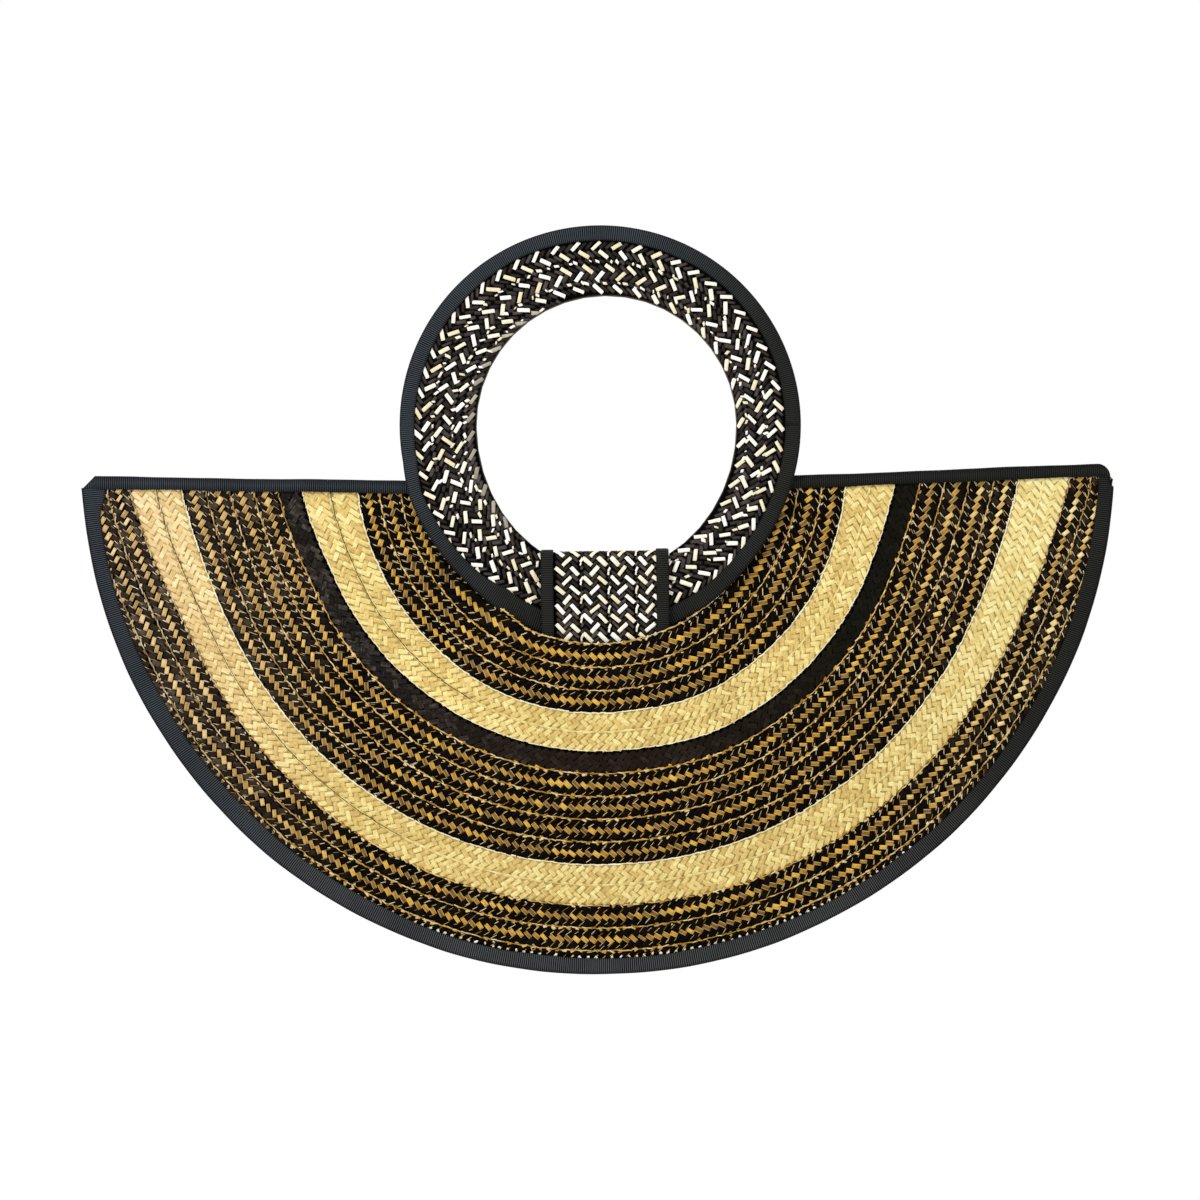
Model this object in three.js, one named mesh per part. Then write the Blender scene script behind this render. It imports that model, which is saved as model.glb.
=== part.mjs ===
// A woven half-moon handbag with two ring handles, in millimetres.
// +Z is up, the front panel faces -Y, and the origin is where a hand lifts the bag:
// midway between the two rings, under the top of their holes.
import * as THREE from "three";

// Layers, as thicknesses
const BRAID_THICKNESS = 1.3;
const LINING_THICKNESS = 0.8;
const RIBBON_THICKNESS = 0.5;
const CORE_THICKNESS = 1.0;
const CORE_INSET = 1.0; // stiff core of the ring, inside the edge of its braids
const LAYER_GAP = 0.25; // between layers that are sewn face to face
const SEAM_GAP = 0.3; // between neighbouring rows of braid

// Half-moon panel: arcs of braid about the arc centre
const CUTOUT_RADIUS = 91.7; // inner edge, straight below the arc centre
const CUTOUT_SIDE_RADIUS = 87.3; // inner edge, level with the arc centre
const MIXED_WIDTH = 10.98; // brown and black braid at the bottom of its arc
const INNER_CREAM_WIDTH = 9.3;
const DARK_WIDTH = 10.6;
const OUTER_CREAM_WIDTH = 9.9;
const FIRST_SIDE_WIDTH = 9.6; // row along the cutout, at the sides
const SIDE_ROWS = 13.1; // how many more rows find room at the sides, where the braid lies looser
const LEAST_WIDTH = 1.0; // of a row that runs out under the curved binding
const PANEL_SIDE_RADIUS = 249.2; // outer edge, level with the arc centre
const TOP_DROP_AT_CORNER = 8.0; // top edge of the rows below the arc centre
const TOP_DROP_AT_RING = 12.4;

// Ribbons
const CURVED_BINDING_WIDTH = 8.0;
const TOP_BINDING_WIDTH = 6.2;
const TOP_BINDING_INNER_INSET = 0.5; // from the cutout's corner
const TOP_BINDING_OUTER_INSET = 1.5; // from the panel's outer edge
const RING_BINDING_WIDTH = 7.0;
const TAB_RIBBON_WIDTH = 6.2;

// Depth of the bag, as half gaps between the two linings
const EDGE_HALF_GAP = 1.3; // along the curved seam
const MOUTH_HALF_GAP = 24.0; // at the bottom of the cutout
const BODY_HALF_GAP = 27.0; // what the middle of the bag swells towards
const SIDE_HALF_GAP = 6.0;
const SWELL_POWER = 1.2; // how fast the depth grows from the sides towards the middle
const BODY_SHARE = 0.4; // the swell rules up to this share of the way in from the curved seam
const EDGE_SHARE = 0.92; // the cutout edge rules from this share on

// Ring handle, in its own plane
const RING_OVERLAP = 9.5; // of the ring's rim over the cutout edge, at its sides
const RING_DROP_POWER = 4; // high: the lower half stays round until close to its lowest point
const RING_WIDTH = 34.0; // from the hole to the rim, ribbon included
const RING_LOWER_WIDTH = 34.9; // the same at the lowest point
const HOLE_OFFSET = 3.0; // the hole's centre lies to the right of the ring's
const SEAT_DROP = 63.6; // the tab presses the hole's edge down to here, from its centre
const RING_RISE = 14.3; // ring centre above the arc centre
const RING_SHIFT = 1.4; // ring centre to the right of the arc centre
const RING_CLEARANCE = 0.3; // tab to lining, ring to panel, and ring to the tab's folds
const TAB_PLAY = 0.8; // between each face of the ring and the tab's legs
const MEETING_GAP = 0.6; // between the two rings, where their tops meet

// Tab that holds the ring
const TAB_WIDTH = 62.0;
const TAB_SHIFT = 1.3; // tab to the right of the ring's centre
const TAB_SEWN_LENGTH = 25.0; // behind the panel, below the cutout edge
const TAB_HINGE_RISE = 1.0; // fold above the cutout edge beside the tab

// Steps along the shapes
const ARC_STEPS = 24;
const RING_STEPS = 40;
const TOP_STEPS = 8;
const FOLD_STEPS = 8;
const TAIL_STEPS = 6;
const SEAT_STEPS = 12;
const END_PASSES = 20; // to find where an arc meets the top edge

const RIGHT_ANGLE = Math.PI / 2;
const HUG_END = THREE.MathUtils.degToRad(46); // the ring lies in front of the panel up to here
const FLARE_TOP = THREE.MathUtils.degToRad(4.5); // the rows are spread out fully up to here
const FLARE_END = THREE.MathUtils.degToRad(26); // and lie in step from here down
const FLARE_POWER = 2;
const TAB_START = THREE.MathUtils.degToRad(67.5); // from here down the panel covers the tab's end

const FRONT = -1;
const BACK = 1;
const LEFT = -1;
const RIGHT = 1;

const MIXED = { kind: "mixed", width: MIXED_WIDTH, colour: 0x5a4020, roughness: 0.62 };
const INNER_CREAM = { kind: "cream", width: INNER_CREAM_WIDTH, colour: 0xe6cb8c, roughness: 0.6 };
const OUTER_CREAM = { kind: "cream", width: OUTER_CREAM_WIDTH, colour: 0xe6cb8c, roughness: 0.6 };
const DARK = { kind: "dark", width: DARK_WIDTH, colour: 0x2a211c, roughness: 0.58 };
const ROWS = [
  ...Array(3).fill(MIXED),
  ...Array(2).fill(INNER_CREAM),
  DARK,
  ...Array(4).fill(MIXED),
  ...Array(2).fill(OUTER_CREAM),
  ...Array(3).fill(MIXED),
];

// Worked out from the sizes above
const PANEL_RADIUS = CUTOUT_RADIUS + ROWS.reduce((sum, row) => sum + row.width, 0);
const SIDE_WIDTH = (PANEL_SIDE_RADIUS - CUTOUT_SIDE_RADIUS - FIRST_SIDE_WIDTH) / SIDE_ROWS;
const RING_RADIUS = CUTOUT_SIDE_RADIUS + RING_OVERLAP; // rim of the upper half
const RING_DROP = CUTOUT_RADIUS + RING_RISE - RING_CLEARANCE; // from its centre to its lowest point
const HOLE_RADIUS = RING_RADIUS - RING_WIDTH;
const HOLE_DROP = RING_DROP - RING_LOWER_WIDTH;
const PANEL_STACK = LINING_THICKNESS + LAYER_GAP + BRAID_THICKNESS;
const RIBBON_STANDOFF = LAYER_GAP + RIBBON_THICKNESS;
const RING_BRAID_HALF = CORE_THICKNESS / 2 + LAYER_GAP + BRAID_THICKNESS;
const RING_HALF = RING_BRAID_HALF + RIBBON_STANDOFF;
const TAB_HALF = BRAID_THICKNESS / 2 + RIBBON_STANDOFF;
const TAB_PLANE = MOUTH_HALF_GAP - RING_CLEARANCE - TAB_HALF; // middle of the tab's front leg
const LEG_OFFSET = RING_HALF + TAB_PLAY + TAB_HALF; // from the ring's middle to a leg's
const RING_PLANE = TAB_PLANE - LEG_OFFSET; // middle of the ring at the height of the hinge
const ARC_CENTRE_Z = -(RING_RISE + HOLE_RADIUS);
const TAB_REACH = Math.abs(RING_SHIFT + TAB_SHIFT) + TAB_WIDTH / 2;
const TAB_EDGE_DROP = Math.sqrt(cutoutRadius(TAB_START) ** 2 - TAB_REACH ** 2);
const HINGE_Z = -TAB_EDGE_DROP + TAB_HINGE_RISE; // above the arc centre
const RING_TOP = RING_RISE + RING_RADIUS - HINGE_Z; // above the hinge
const LEAN =
  Math.asin((RING_PLANE - MEETING_GAP / 2) / Math.hypot(RING_HALF, RING_TOP)) -
  Math.atan2(RING_HALF, RING_TOP);

function smoothstep(low, high, value) {
  const t = THREE.MathUtils.clamp((value - low) / (high - low), 0, 1);
  return t * t * (3 - 2 * t);
}

// Radius of the cutout edge at an angle below the horizontal through the arc centre.
function cutoutRadius(angle) {
  return CUTOUT_SIDE_RADIUS + (CUTOUT_RADIUS - CUTOUT_SIDE_RADIUS) * Math.sin(angle) ** 2;
}

// Radius of the panel's outer edge.
function panelRadius(angle) {
  return PANEL_SIDE_RADIUS + (PANEL_RADIUS - PANEL_SIDE_RADIUS) * Math.sin(angle) ** 2;
}

// Radius of the seam inside row number index; the last one is the outer edge.
function seamRadius(index, angle) {
  const inner = cutoutRadius(angle);
  const outer = panelRadius(angle);
  const bottom = ROWS.slice(0, index).reduce((sum, row) => sum + row.width, 0);
  const share = bottom / (PANEL_RADIUS - CUTOUT_RADIUS);
  const side = index > 0 ? FIRST_SIDE_WIDTH + (index - 1) * SIDE_WIDTH : 0;
  const spread = side - share * (PANEL_SIDE_RADIUS - CUTOUT_SIDE_RADIUS);
  const flare = THREE.MathUtils.clamp((FLARE_END - angle) / (FLARE_END - FLARE_TOP), 0, 1) ** FLARE_POWER;
  const radius = inner + share * (outer - inner) + spread * flare;
  return Math.min(radius, outer - (ROWS.length - index) * LEAST_WIDTH);
}

// Top edge of the rows, as a height against the arc centre.
function topEdge(x) {
  const along = (Math.abs(x) - CUTOUT_SIDE_RADIUS) / (PANEL_SIDE_RADIUS - CUTOUT_SIDE_RADIUS);
  return -(TOP_DROP_AT_RING + (TOP_DROP_AT_CORNER - TOP_DROP_AT_RING) * along);
}

// Angle at which an arc of the given radius meets a line that lies below the top edge.
function endAngle(radiusAt, below = 0) {
  let angle = 0;
  for (let pass = 0; pass < END_PASSES; pass += 1) {
    const radius = radiusAt(angle);
    angle = Math.asin((below - topEdge(radius * Math.cos(angle))) / radius);
  }
  return angle;
}

// Distance of the ring's inner face from the middle plane, at a height against the arc centre.
function ringBackFace(z) {
  return RING_PLANE - (z - HINGE_Z) * Math.tan(LEAN) - RING_HALF / Math.cos(LEAN);
}

// Half gap between the linings at a point of the panel.
function halfGap(x, z) {
  const angle = Math.min(Math.atan2(-z, Math.abs(x)), Math.PI - Math.atan2(-z, Math.abs(x)));
  const inner = cutoutRadius(angle);
  const outer = panelRadius(angle);
  const share = THREE.MathUtils.clamp((outer - Math.hypot(x, z)) / (outer - inner), 0, 1);
  const hugAngle = Math.min(angle, HUG_END);
  const hugHeight = -inner * Math.sin(hugAngle);
  const hug = ringBackFace(hugHeight) - RING_CLEARANCE - PANEL_STACK - RIBBON_STANDOFF;
  const edge = hug + (MOUTH_HALF_GAP - hug) * smoothstep(HUG_END, TAB_START, angle);
  const body = SIDE_HALF_GAP + (BODY_HALF_GAP - SIDE_HALF_GAP) * Math.sin(angle) ** SWELL_POWER;
  const depth = body + (edge - body) * smoothstep(BODY_SHARE, EDGE_SHARE, share);
  return EDGE_HALF_GAP + (depth - EDGE_HALF_GAP) * Math.sin(share * RIGHT_ANGLE);
}

function material(colour, roughness) {
  return new THREE.MeshStandardMaterial({ color: colour, roughness, metalness: 0 });
}

const RIBBON_MATERIAL = () => material(0x1d1e1f, 0.55);
const RING_BRAID_MATERIAL = () => material(0x4a443c, 0.6);

function addMesh(parent, name, geometry, look) {
  const mesh = new THREE.Mesh(geometry, look);
  mesh.name = name;
  parent.add(mesh);
}

// A closed solid from rings of points: each ring is one outline of the cross section.
function loft(rings, closed) {
  const count = rings[0].length;
  const positions = rings.flat().flatMap((point) => [point.x, point.y, point.z]);
  const faces = [];
  const last = closed ? rings.length : rings.length - 1;
  for (let i = 0; i < last; i += 1) {
    const here = i * count;
    const next = ((i + 1) % rings.length) * count;
    for (let j = 0; j < count; j += 1) {
      const k = (j + 1) % count;
      faces.push(here + j, here + k, next + k);
      faces.push(here + j, next + k, next + j);
    }
  }
  if (!closed) {
    addCap(faces, rings[0], 0, true);
    addCap(faces, rings[rings.length - 1], (rings.length - 1) * count, false);
  }
  return solid(positions, faces);
}

// Triangles over one end of a loft.
function addCap(faces, ring, offset, reversed) {
  const normal = new THREE.Vector3();
  ring.forEach((point, i) => {
    const next = ring[(i + 1) % ring.length];
    normal.add(new THREE.Vector3().crossVectors(point, next));
  });
  normal.normalize();
  const across = ring[1].clone().sub(ring[0]).normalize();
  const up = new THREE.Vector3().crossVectors(normal, across);
  const flat = ring.map((point) => new THREE.Vector2(point.dot(across), point.dot(up)));
  THREE.ShapeUtils.triangulateShape(flat, []).forEach(([a, b, c]) => {
    faces.push(offset + a, offset + (reversed ? c : b), offset + (reversed ? b : c));
  });
}

// Turns the faces outward if they point in.
function solid(positions, faces) {
  const at = (i) => new THREE.Vector3().fromArray(positions, 3 * i);
  let volume = 0;
  for (let i = 0; i < faces.length; i += 3) {
    volume += at(faces[i]).dot(new THREE.Vector3().crossVectors(at(faces[i + 1]), at(faces[i + 2])));
  }
  const geometry = new THREE.BufferGeometry();
  geometry.setAttribute("position", new THREE.Float32BufferAttribute(positions, 3));
  geometry.setIndex(volume < 0 ? faces.slice().reverse() : faces);
  geometry.computeVertexNormals();
  return geometry;
}

// A sheet with thickness from two grids of points that share their rims.
function sheet(near, far) {
  const rows = near.length;
  const columns = near[0].length;
  const positions = [...near.flat(), ...far.flat()].flatMap((point) => [point.x, point.y, point.z]);
  const back = rows * columns;
  const index = (i, j) => i * columns + j;
  const faces = [];
  const quad = (a, b, c, d) => faces.push(a, b, c, a, c, d);
  for (let i = 0; i + 1 < rows; i += 1) {
    for (let j = 0; j + 1 < columns; j += 1) {
      quad(index(i, j), index(i + 1, j), index(i + 1, j + 1), index(i, j + 1));
      quad(
        back + index(i, j),
        back + index(i, j + 1),
        back + index(i + 1, j + 1),
        back + index(i + 1, j),
      );
    }
  }
  const rim = [];
  for (let j = 0; j < columns; j += 1) rim.push(index(0, j));
  for (let i = 1; i < rows; i += 1) rim.push(index(i, columns - 1));
  for (let j = columns - 2; j >= 0; j -= 1) rim.push(index(rows - 1, j));
  for (let i = rows - 2; i > 0; i -= 1) rim.push(index(i, 0));
  rim.forEach((a, n) => {
    const b = rim[(n + 1) % rim.length];
    quad(a, b, back + b, back + a);
  });
  return solid(positions, faces);
}

// A point of a panel, at a distance from the middle plane beyond the lining's inner face.
function panelPoint(side, x, z, beyond) {
  return new THREE.Vector3(x, side * (halfGap(x, z) + beyond), z);
}

// Points along an arc from the left top edge to the right one.
function arcPoints(radiusAt, below = 0) {
  const start = endAngle(radiusAt, below);
  return Array.from({ length: ARC_STEPS + 1 }, (_, i) => {
    const turn = start + ((Math.PI - 2 * start) * i) / ARC_STEPS;
    const angle = Math.min(turn, Math.PI - turn);
    const radius = radiusAt(angle);
    return new THREE.Vector2(-radius * Math.cos(turn), -radius * Math.sin(turn));
  });
}

// A layer of a panel between radii, given as functions of the angle, inner to outer.
function panelLayer(side, radii, from, thickness) {
  const lines = radii.map((radiusAt) => arcPoints(radiusAt));
  const grid = (beyond) => lines.map((line) => line.map((p) => panelPoint(side, p.x, p.y, beyond)));
  return sheet(grid(from), grid(from + thickness));
}

function addRows(parent, label, side) {
  ROWS.forEach((row, i) => {
    const inner = (angle) => seamRadius(i, angle) + SEAM_GAP / 2;
    const outer = (angle) => seamRadius(i + 1, angle) - SEAM_GAP / 2;
    const geometry = panelLayer(side, [inner, outer], LINING_THICKNESS + LAYER_GAP, BRAID_THICKNESS);
    const name = `${label}_row_${String(i + 1).padStart(2, "0")}_${row.kind}`;
    addMesh(parent, name, geometry, material(row.colour, row.roughness));
  });
}

function addLining(parent, label, side) {
  const radii = [];
  for (let i = 0; i < ROWS.length; i += 1) {
    radii.push((angle) => seamRadius(i, angle) + SEAM_GAP / 2);
  }
  radii.push((angle) => seamRadius(ROWS.length, angle) - SEAM_GAP / 2);
  addMesh(parent, `${label}_lining`, panelLayer(side, radii, 0, LINING_THICKNESS), material(0x2c2622, 0.9));
}

// A ribbon folded over the top edge of one panel, on one side of the ring.
function topBinding(side, hand) {
  const inner = CUTOUT_SIDE_RADIUS + TOP_BINDING_INNER_INSET;
  const outer = PANEL_SIDE_RADIUS - TOP_BINDING_OUTER_INSET;
  const rings = [];
  for (let i = 0; i <= TOP_STEPS; i += 1) {
    const x = hand * (inner + ((outer - inner) * i) / TOP_STEPS);
    const top = topEdge(x);
    const low = top - TOP_BINDING_WIDTH + RIBBON_STANDOFF;
    const at = (z, beyond) => new THREE.Vector3(x, side * (halfGap(x, Math.min(z, top)) + beyond), z);
    rings.push([
      at(low, -RIBBON_STANDOFF),
      at(top + RIBBON_STANDOFF, -RIBBON_STANDOFF),
      at(top + RIBBON_STANDOFF, PANEL_STACK + RIBBON_STANDOFF),
      at(low, PANEL_STACK + RIBBON_STANDOFF),
      at(low, PANEL_STACK + LAYER_GAP),
      at(top + LAYER_GAP, PANEL_STACK + LAYER_GAP),
      at(top + LAYER_GAP, -LAYER_GAP),
      at(low, -LAYER_GAP),
    ]);
  }
  return loft(rings, false);
}

// The ribbon that joins both panels along the curved edge.
function curvedBinding() {
  const below = TOP_BINDING_WIDTH + SEAM_GAP;
  const offsets = [RIBBON_STANDOFF - CURVED_BINDING_WIDTH, LAYER_GAP, RIBBON_STANDOFF];
  const lines = offsets.map((offset) => arcPoints((angle) => panelRadius(angle) + offset, below));
  const rings = lines[0].map((_, i) => {
    const [low, high, rim] = lines.map((line) => line[i]);
    const at = (p, side, out) => {
      const depth = halfGap(p.x, p.y) + PANEL_STACK + LAYER_GAP + out;
      return new THREE.Vector3(p.x, side * depth, p.y);
    };
    return [
      at(low, FRONT, RIBBON_THICKNESS),
      at(rim, FRONT, RIBBON_THICKNESS),
      at(rim, BACK, RIBBON_THICKNESS),
      at(low, BACK, RIBBON_THICKNESS),
      at(low, BACK, 0),
      at(high, BACK, 0),
      at(high, FRONT, 0),
      at(low, FRONT, 0),
    ];
  });
  return loft(rings, false);
}

// The ring's rim: a half circle above, and below it a half that comes back to the middle of the
// panel and reaches down to the cutout edge.
function rimPoint(turn, inset) {
  const below = Math.min(Math.sin(turn), 0);
  const radius = RING_RADIUS + (RING_DROP - RING_RADIUS) * below ** RING_DROP_POWER - inset;
  return new THREE.Vector2(radius * Math.cos(turn) - RING_SHIFT * below ** 2, radius * Math.sin(turn));
}

// The ring's hole: a half circle above and half an ellipse below.
function holePoint(turn) {
  const height = Math.sin(turn) >= 0 ? HOLE_RADIUS : HOLE_DROP;
  return new THREE.Vector2(HOLE_OFFSET + HOLE_RADIUS * Math.cos(turn), height * Math.sin(turn));
}

// Height of the hole's lower edge.
function holeEdge(x) {
  return -HOLE_DROP * Math.sqrt(1 - ((x - HOLE_OFFSET) / HOLE_RADIUS) ** 2);
}

function ringOutline(pointAt) {
  return Array.from({ length: RING_STEPS }, (_, i) => pointAt((2 * Math.PI * i) / RING_STEPS));
}

// Outline of the hole, cut down to the seat where the tab passes over its edge.
function holeOutline() {
  const reach = TAB_WIDTH / 2 + RING_CLEARANCE;
  const outline = ringOutline(holePoint).filter((p) => p.y > 0 || Math.abs(p.x - TAB_SHIFT) > reach);
  const first = outline.findIndex((p) => p.y < 0 && p.x > TAB_SHIFT);
  const steps = Array.from({ length: SEAT_STEPS + 1 }, (_, i) => {
    const x = TAB_SHIFT - reach + (2 * reach * i) / SEAT_STEPS;
    return new THREE.Vector2(x, Math.min(holeEdge(x), -SEAT_DROP));
  });
  const ends = [TAB_SHIFT - reach, TAB_SHIFT + reach].map((x) => new THREE.Vector2(x, holeEdge(x)));
  outline.splice(first, 0, ends[0], ...steps, ends[1]);
  return outline;
}

// A flat layer of the ring, between two distances from its middle plane.
function ringLayer(from, to, inset) {
  const shape = new THREE.Shape(ringOutline((turn) => rimPoint(turn, inset)));
  shape.holes.push(new THREE.Path(holeOutline()));
  const geometry = new THREE.ExtrudeGeometry(shape, { depth: to - from, bevelEnabled: false });
  geometry.rotateX(RIGHT_ANGLE);
  geometry.translate(0, to, 0);
  return geometry;
}

// The ribbon folded round the outer edge of the ring.
function ringBinding() {
  const rings = [];
  for (let i = 0; i < RING_STEPS; i += 1) {
    const turn = (2 * Math.PI * i) / RING_STEPS;
    const at = (inset, y) => {
      const p = rimPoint(turn, inset);
      return new THREE.Vector3(p.x, y, p.y);
    };
    rings.push([
      at(RING_BINDING_WIDTH, -RING_HALF),
      at(0, -RING_HALF),
      at(0, RING_HALF),
      at(RING_BINDING_WIDTH, RING_HALF),
      at(RING_BINDING_WIDTH, RING_BRAID_HALF + LAYER_GAP),
      at(RIBBON_THICKNESS, RING_BRAID_HALF + LAYER_GAP),
      at(RIBBON_THICKNESS, -RING_BRAID_HALF - LAYER_GAP),
      at(RING_BINDING_WIDTH, -RING_BRAID_HALF - LAYER_GAP),
    ]);
  }
  return loft(rings, true);
}

// Middle line of the tab in the ring's (y, z) plane, with the direction across its thickness.
// It starts at the fold over the panel's edge, goes up in front of the ring, over the hole's
// edge, down behind the ring and forward under it.
function tabPath() {
  const sides = [TAB_SHIFT - TAB_WIDTH / 2, TAB_SHIFT + TAB_WIDTH / 2];
  const highest = Math.min(-SEAT_DROP, Math.max(...sides.map(holeEdge)));
  const innerRadius = LEG_OFFSET - TAB_HALF;
  const foldCentre = highest + RING_CLEARANCE - Math.sqrt(innerRadius ** 2 - RING_BRAID_HALF ** 2);
  const underCentre = -RING_DROP - RING_CLEARANCE + Math.sqrt(innerRadius ** 2 - RING_HALF ** 2);
  const start = HINGE_Z - RING_RISE + RING_CLEARANCE / 2;
  const points = [{ y: -LEG_OFFSET, z: start, across: [-1, 0] }];
  for (let i = 0; i <= FOLD_STEPS; i += 1) {
    const turn = Math.PI - (Math.PI * i) / FOLD_STEPS;
    const across = [Math.cos(turn), Math.sin(turn)];
    points.push({ y: LEG_OFFSET * across[0], z: foldCentre + LEG_OFFSET * across[1], across });
  }
  for (let i = 0; i <= FOLD_STEPS / 2; i += 1) {
    const turn = (-Math.PI * i) / FOLD_STEPS;
    const across = [Math.cos(turn), Math.sin(turn)];
    points.push({ y: LEG_OFFSET * across[0], z: underCentre + LEG_OFFSET * across[1], across });
  }
  const end = RING_CLEARANCE - LEG_OFFSET + 2 * TAB_HALF;
  points.push({ y: end, z: underCentre - LEG_OFFSET, across: [0, -1] });
  return points;
}

// A strip along the tab's path. The outline gives points as [x, distance across the thickness].
function tabStrip(outline) {
  const rings = tabPath().map((p) =>
    outline.map(([x, off]) => new THREE.Vector3(x, p.y + off * p.across[0], p.z + off * p.across[1])),
  );
  return loft(rings, false);
}

function tabBraid() {
  const half = TAB_WIDTH / 2 - RIBBON_STANDOFF;
  const deep = BRAID_THICKNESS / 2;
  return tabStrip([
    [TAB_SHIFT - half, -deep],
    [TAB_SHIFT + half, -deep],
    [TAB_SHIFT + half, deep],
    [TAB_SHIFT - half, deep],
  ]);
}

// The ribbon folded over one side edge of the tab.
function tabRibbon(hand) {
  const rim = TAB_SHIFT + (hand * TAB_WIDTH) / 2;
  const lip = rim - hand * TAB_RIBBON_WIDTH;
  const web = rim - hand * RIBBON_THICKNESS;
  const gap = TAB_HALF - RIBBON_THICKNESS;
  return tabStrip([
    [lip, -TAB_HALF],
    [rim, -TAB_HALF],
    [rim, TAB_HALF],
    [lip, TAB_HALF],
    [lip, gap],
    [web, gap],
    [web, -gap],
    [lip, -gap],
  ]);
}

// The sewn-in end of a tab, which lies against the lining behind the panel's edge.
function tabTail(side) {
  const top = HINGE_Z - RING_CLEARANCE / 2;
  const bottom = -CUTOUT_RADIUS - TAB_SEWN_LENGTH;
  const grid = (beyond) =>
    Array.from({ length: TAIL_STEPS + 1 }, (_, i) =>
      Array.from({ length: TAIL_STEPS + 1 }, (_unused, j) => {
        const x = RING_SHIFT + TAB_SHIFT + TAB_WIDTH * (j / TAIL_STEPS - 0.5);
        return panelPoint(side, x, top + ((bottom - top) * i) / TAIL_STEPS, beyond);
      }),
    );
  return sheet(grid(-RING_CLEARANCE - 2 * TAB_HALF), grid(-RING_CLEARANCE));
}

function addPanel(parent, label, side) {
  addLining(parent, label, side);
  addRows(parent, label, side);
  addMesh(parent, `${label}_top_binding_left`, topBinding(side, LEFT), RIBBON_MATERIAL());
  addMesh(parent, `${label}_top_binding_right`, topBinding(side, RIGHT), RIBBON_MATERIAL());
  addMesh(parent, `${label}_tab_tail`, tabTail(side), RING_BRAID_MATERIAL());
}

// One ring with the tab that holds it, leaning in until its top meets the other ring.
function addHandle(parent, label, side) {
  const mirror = new THREE.Matrix4().makeScale(1, side === BACK ? -1 : 1, 1);
  const place = (geometry) => {
    const moved = geometry.index ? geometry.toNonIndexed() : geometry;
    moved.translate(0, 0, RING_RISE - HINGE_Z);
    moved.applyMatrix4(mirror);
    const positions = Array.from(moved.getAttribute("position").array);
    return solid(positions, Array.from({ length: positions.length / 3 }, (_, i) => i));
  };
  const group = new THREE.Group();
  group.rotation.x = side * LEAN;
  group.position.set(RING_SHIFT, side * RING_PLANE, HINGE_Z);
  parent.add(group);
  const core = CORE_THICKNESS / 2;
  const coreLayer = ringLayer(-core, core, RIBBON_STANDOFF + CORE_INSET);
  addMesh(group, `${label}_ring_core`, place(coreLayer), material(0x8c7a5c, 0.85));
  const inner = core + LAYER_GAP;
  const outerFace = ringLayer(-RING_BRAID_HALF, -inner, RIBBON_STANDOFF);
  const innerFace = ringLayer(inner, RING_BRAID_HALF, RIBBON_STANDOFF);
  addMesh(group, `${label}_ring_outer_braid`, place(outerFace), RING_BRAID_MATERIAL());
  addMesh(group, `${label}_ring_inner_braid`, place(innerFace), RING_BRAID_MATERIAL());
  addMesh(group, `${label}_ring_binding`, place(ringBinding()), RIBBON_MATERIAL());
  addMesh(group, `${label}_tab_braid`, place(tabBraid()), RING_BRAID_MATERIAL());
  addMesh(group, `${label}_tab_ribbon_left`, place(tabRibbon(LEFT)), RIBBON_MATERIAL());
  addMesh(group, `${label}_tab_ribbon_right`, place(tabRibbon(RIGHT)), RIBBON_MATERIAL());
}

const bag = new THREE.Group();
bag.position.z = ARC_CENTRE_Z;
addPanel(bag, "front", FRONT);
addPanel(bag, "back", BACK);
addMesh(bag, "curved_binding", curvedBinding(), RIBBON_MATERIAL());
addHandle(bag, "front", FRONT);
addHandle(bag, "back", BACK);

const handbag = new THREE.Group();
handbag.add(bag);

export default handbag;
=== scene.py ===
"""Looks of the woven half-moon handbag: every braid is laid out strand by strand."""
import math
from math import pi, radians
import bpy
import numpy as np
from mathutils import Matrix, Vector


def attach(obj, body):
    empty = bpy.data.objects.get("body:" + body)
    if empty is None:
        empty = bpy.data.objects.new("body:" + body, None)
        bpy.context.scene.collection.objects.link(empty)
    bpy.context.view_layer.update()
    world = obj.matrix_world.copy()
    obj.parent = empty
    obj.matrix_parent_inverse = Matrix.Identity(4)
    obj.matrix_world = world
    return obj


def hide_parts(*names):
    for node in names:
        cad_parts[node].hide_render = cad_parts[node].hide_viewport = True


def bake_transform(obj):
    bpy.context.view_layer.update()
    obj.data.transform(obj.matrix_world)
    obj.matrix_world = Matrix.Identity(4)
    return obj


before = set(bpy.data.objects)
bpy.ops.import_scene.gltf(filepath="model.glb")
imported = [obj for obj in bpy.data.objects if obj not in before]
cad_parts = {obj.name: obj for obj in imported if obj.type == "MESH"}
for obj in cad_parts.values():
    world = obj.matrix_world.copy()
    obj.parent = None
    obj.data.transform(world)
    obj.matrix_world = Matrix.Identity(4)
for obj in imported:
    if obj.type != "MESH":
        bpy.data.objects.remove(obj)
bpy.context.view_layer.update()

# Sizes of the bag, in millimetres
MM = 0.001
BRAID = 1.3
LINING = 0.8
RIBBON = 0.5
CORE = 1.0
LAYER_GAP = 0.25
CUTOUT_RADIUS = 91.7
CUTOUT_SIDE_RADIUS = 87.3
FIRST_SIDE_WIDTH = 9.6
SIDE_ROWS = 13.1
PANEL_SIDE_RADIUS = 249.2
TOP_DROP_AT_CORNER = 8.0
TOP_DROP_AT_RING = 12.4
TOP_BINDING_INNER_INSET = 0.5
CURVED_BINDING_WIDTH = 8.0
TOP_BINDING_WIDTH = 6.2
RING_BINDING_WIDTH = 7.0
TAB_RIBBON_WIDTH = 6.2
EDGE_HALF_GAP = 1.3
MOUTH_HALF_GAP = 24.0
BODY_HALF_GAP = 27.0
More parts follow.
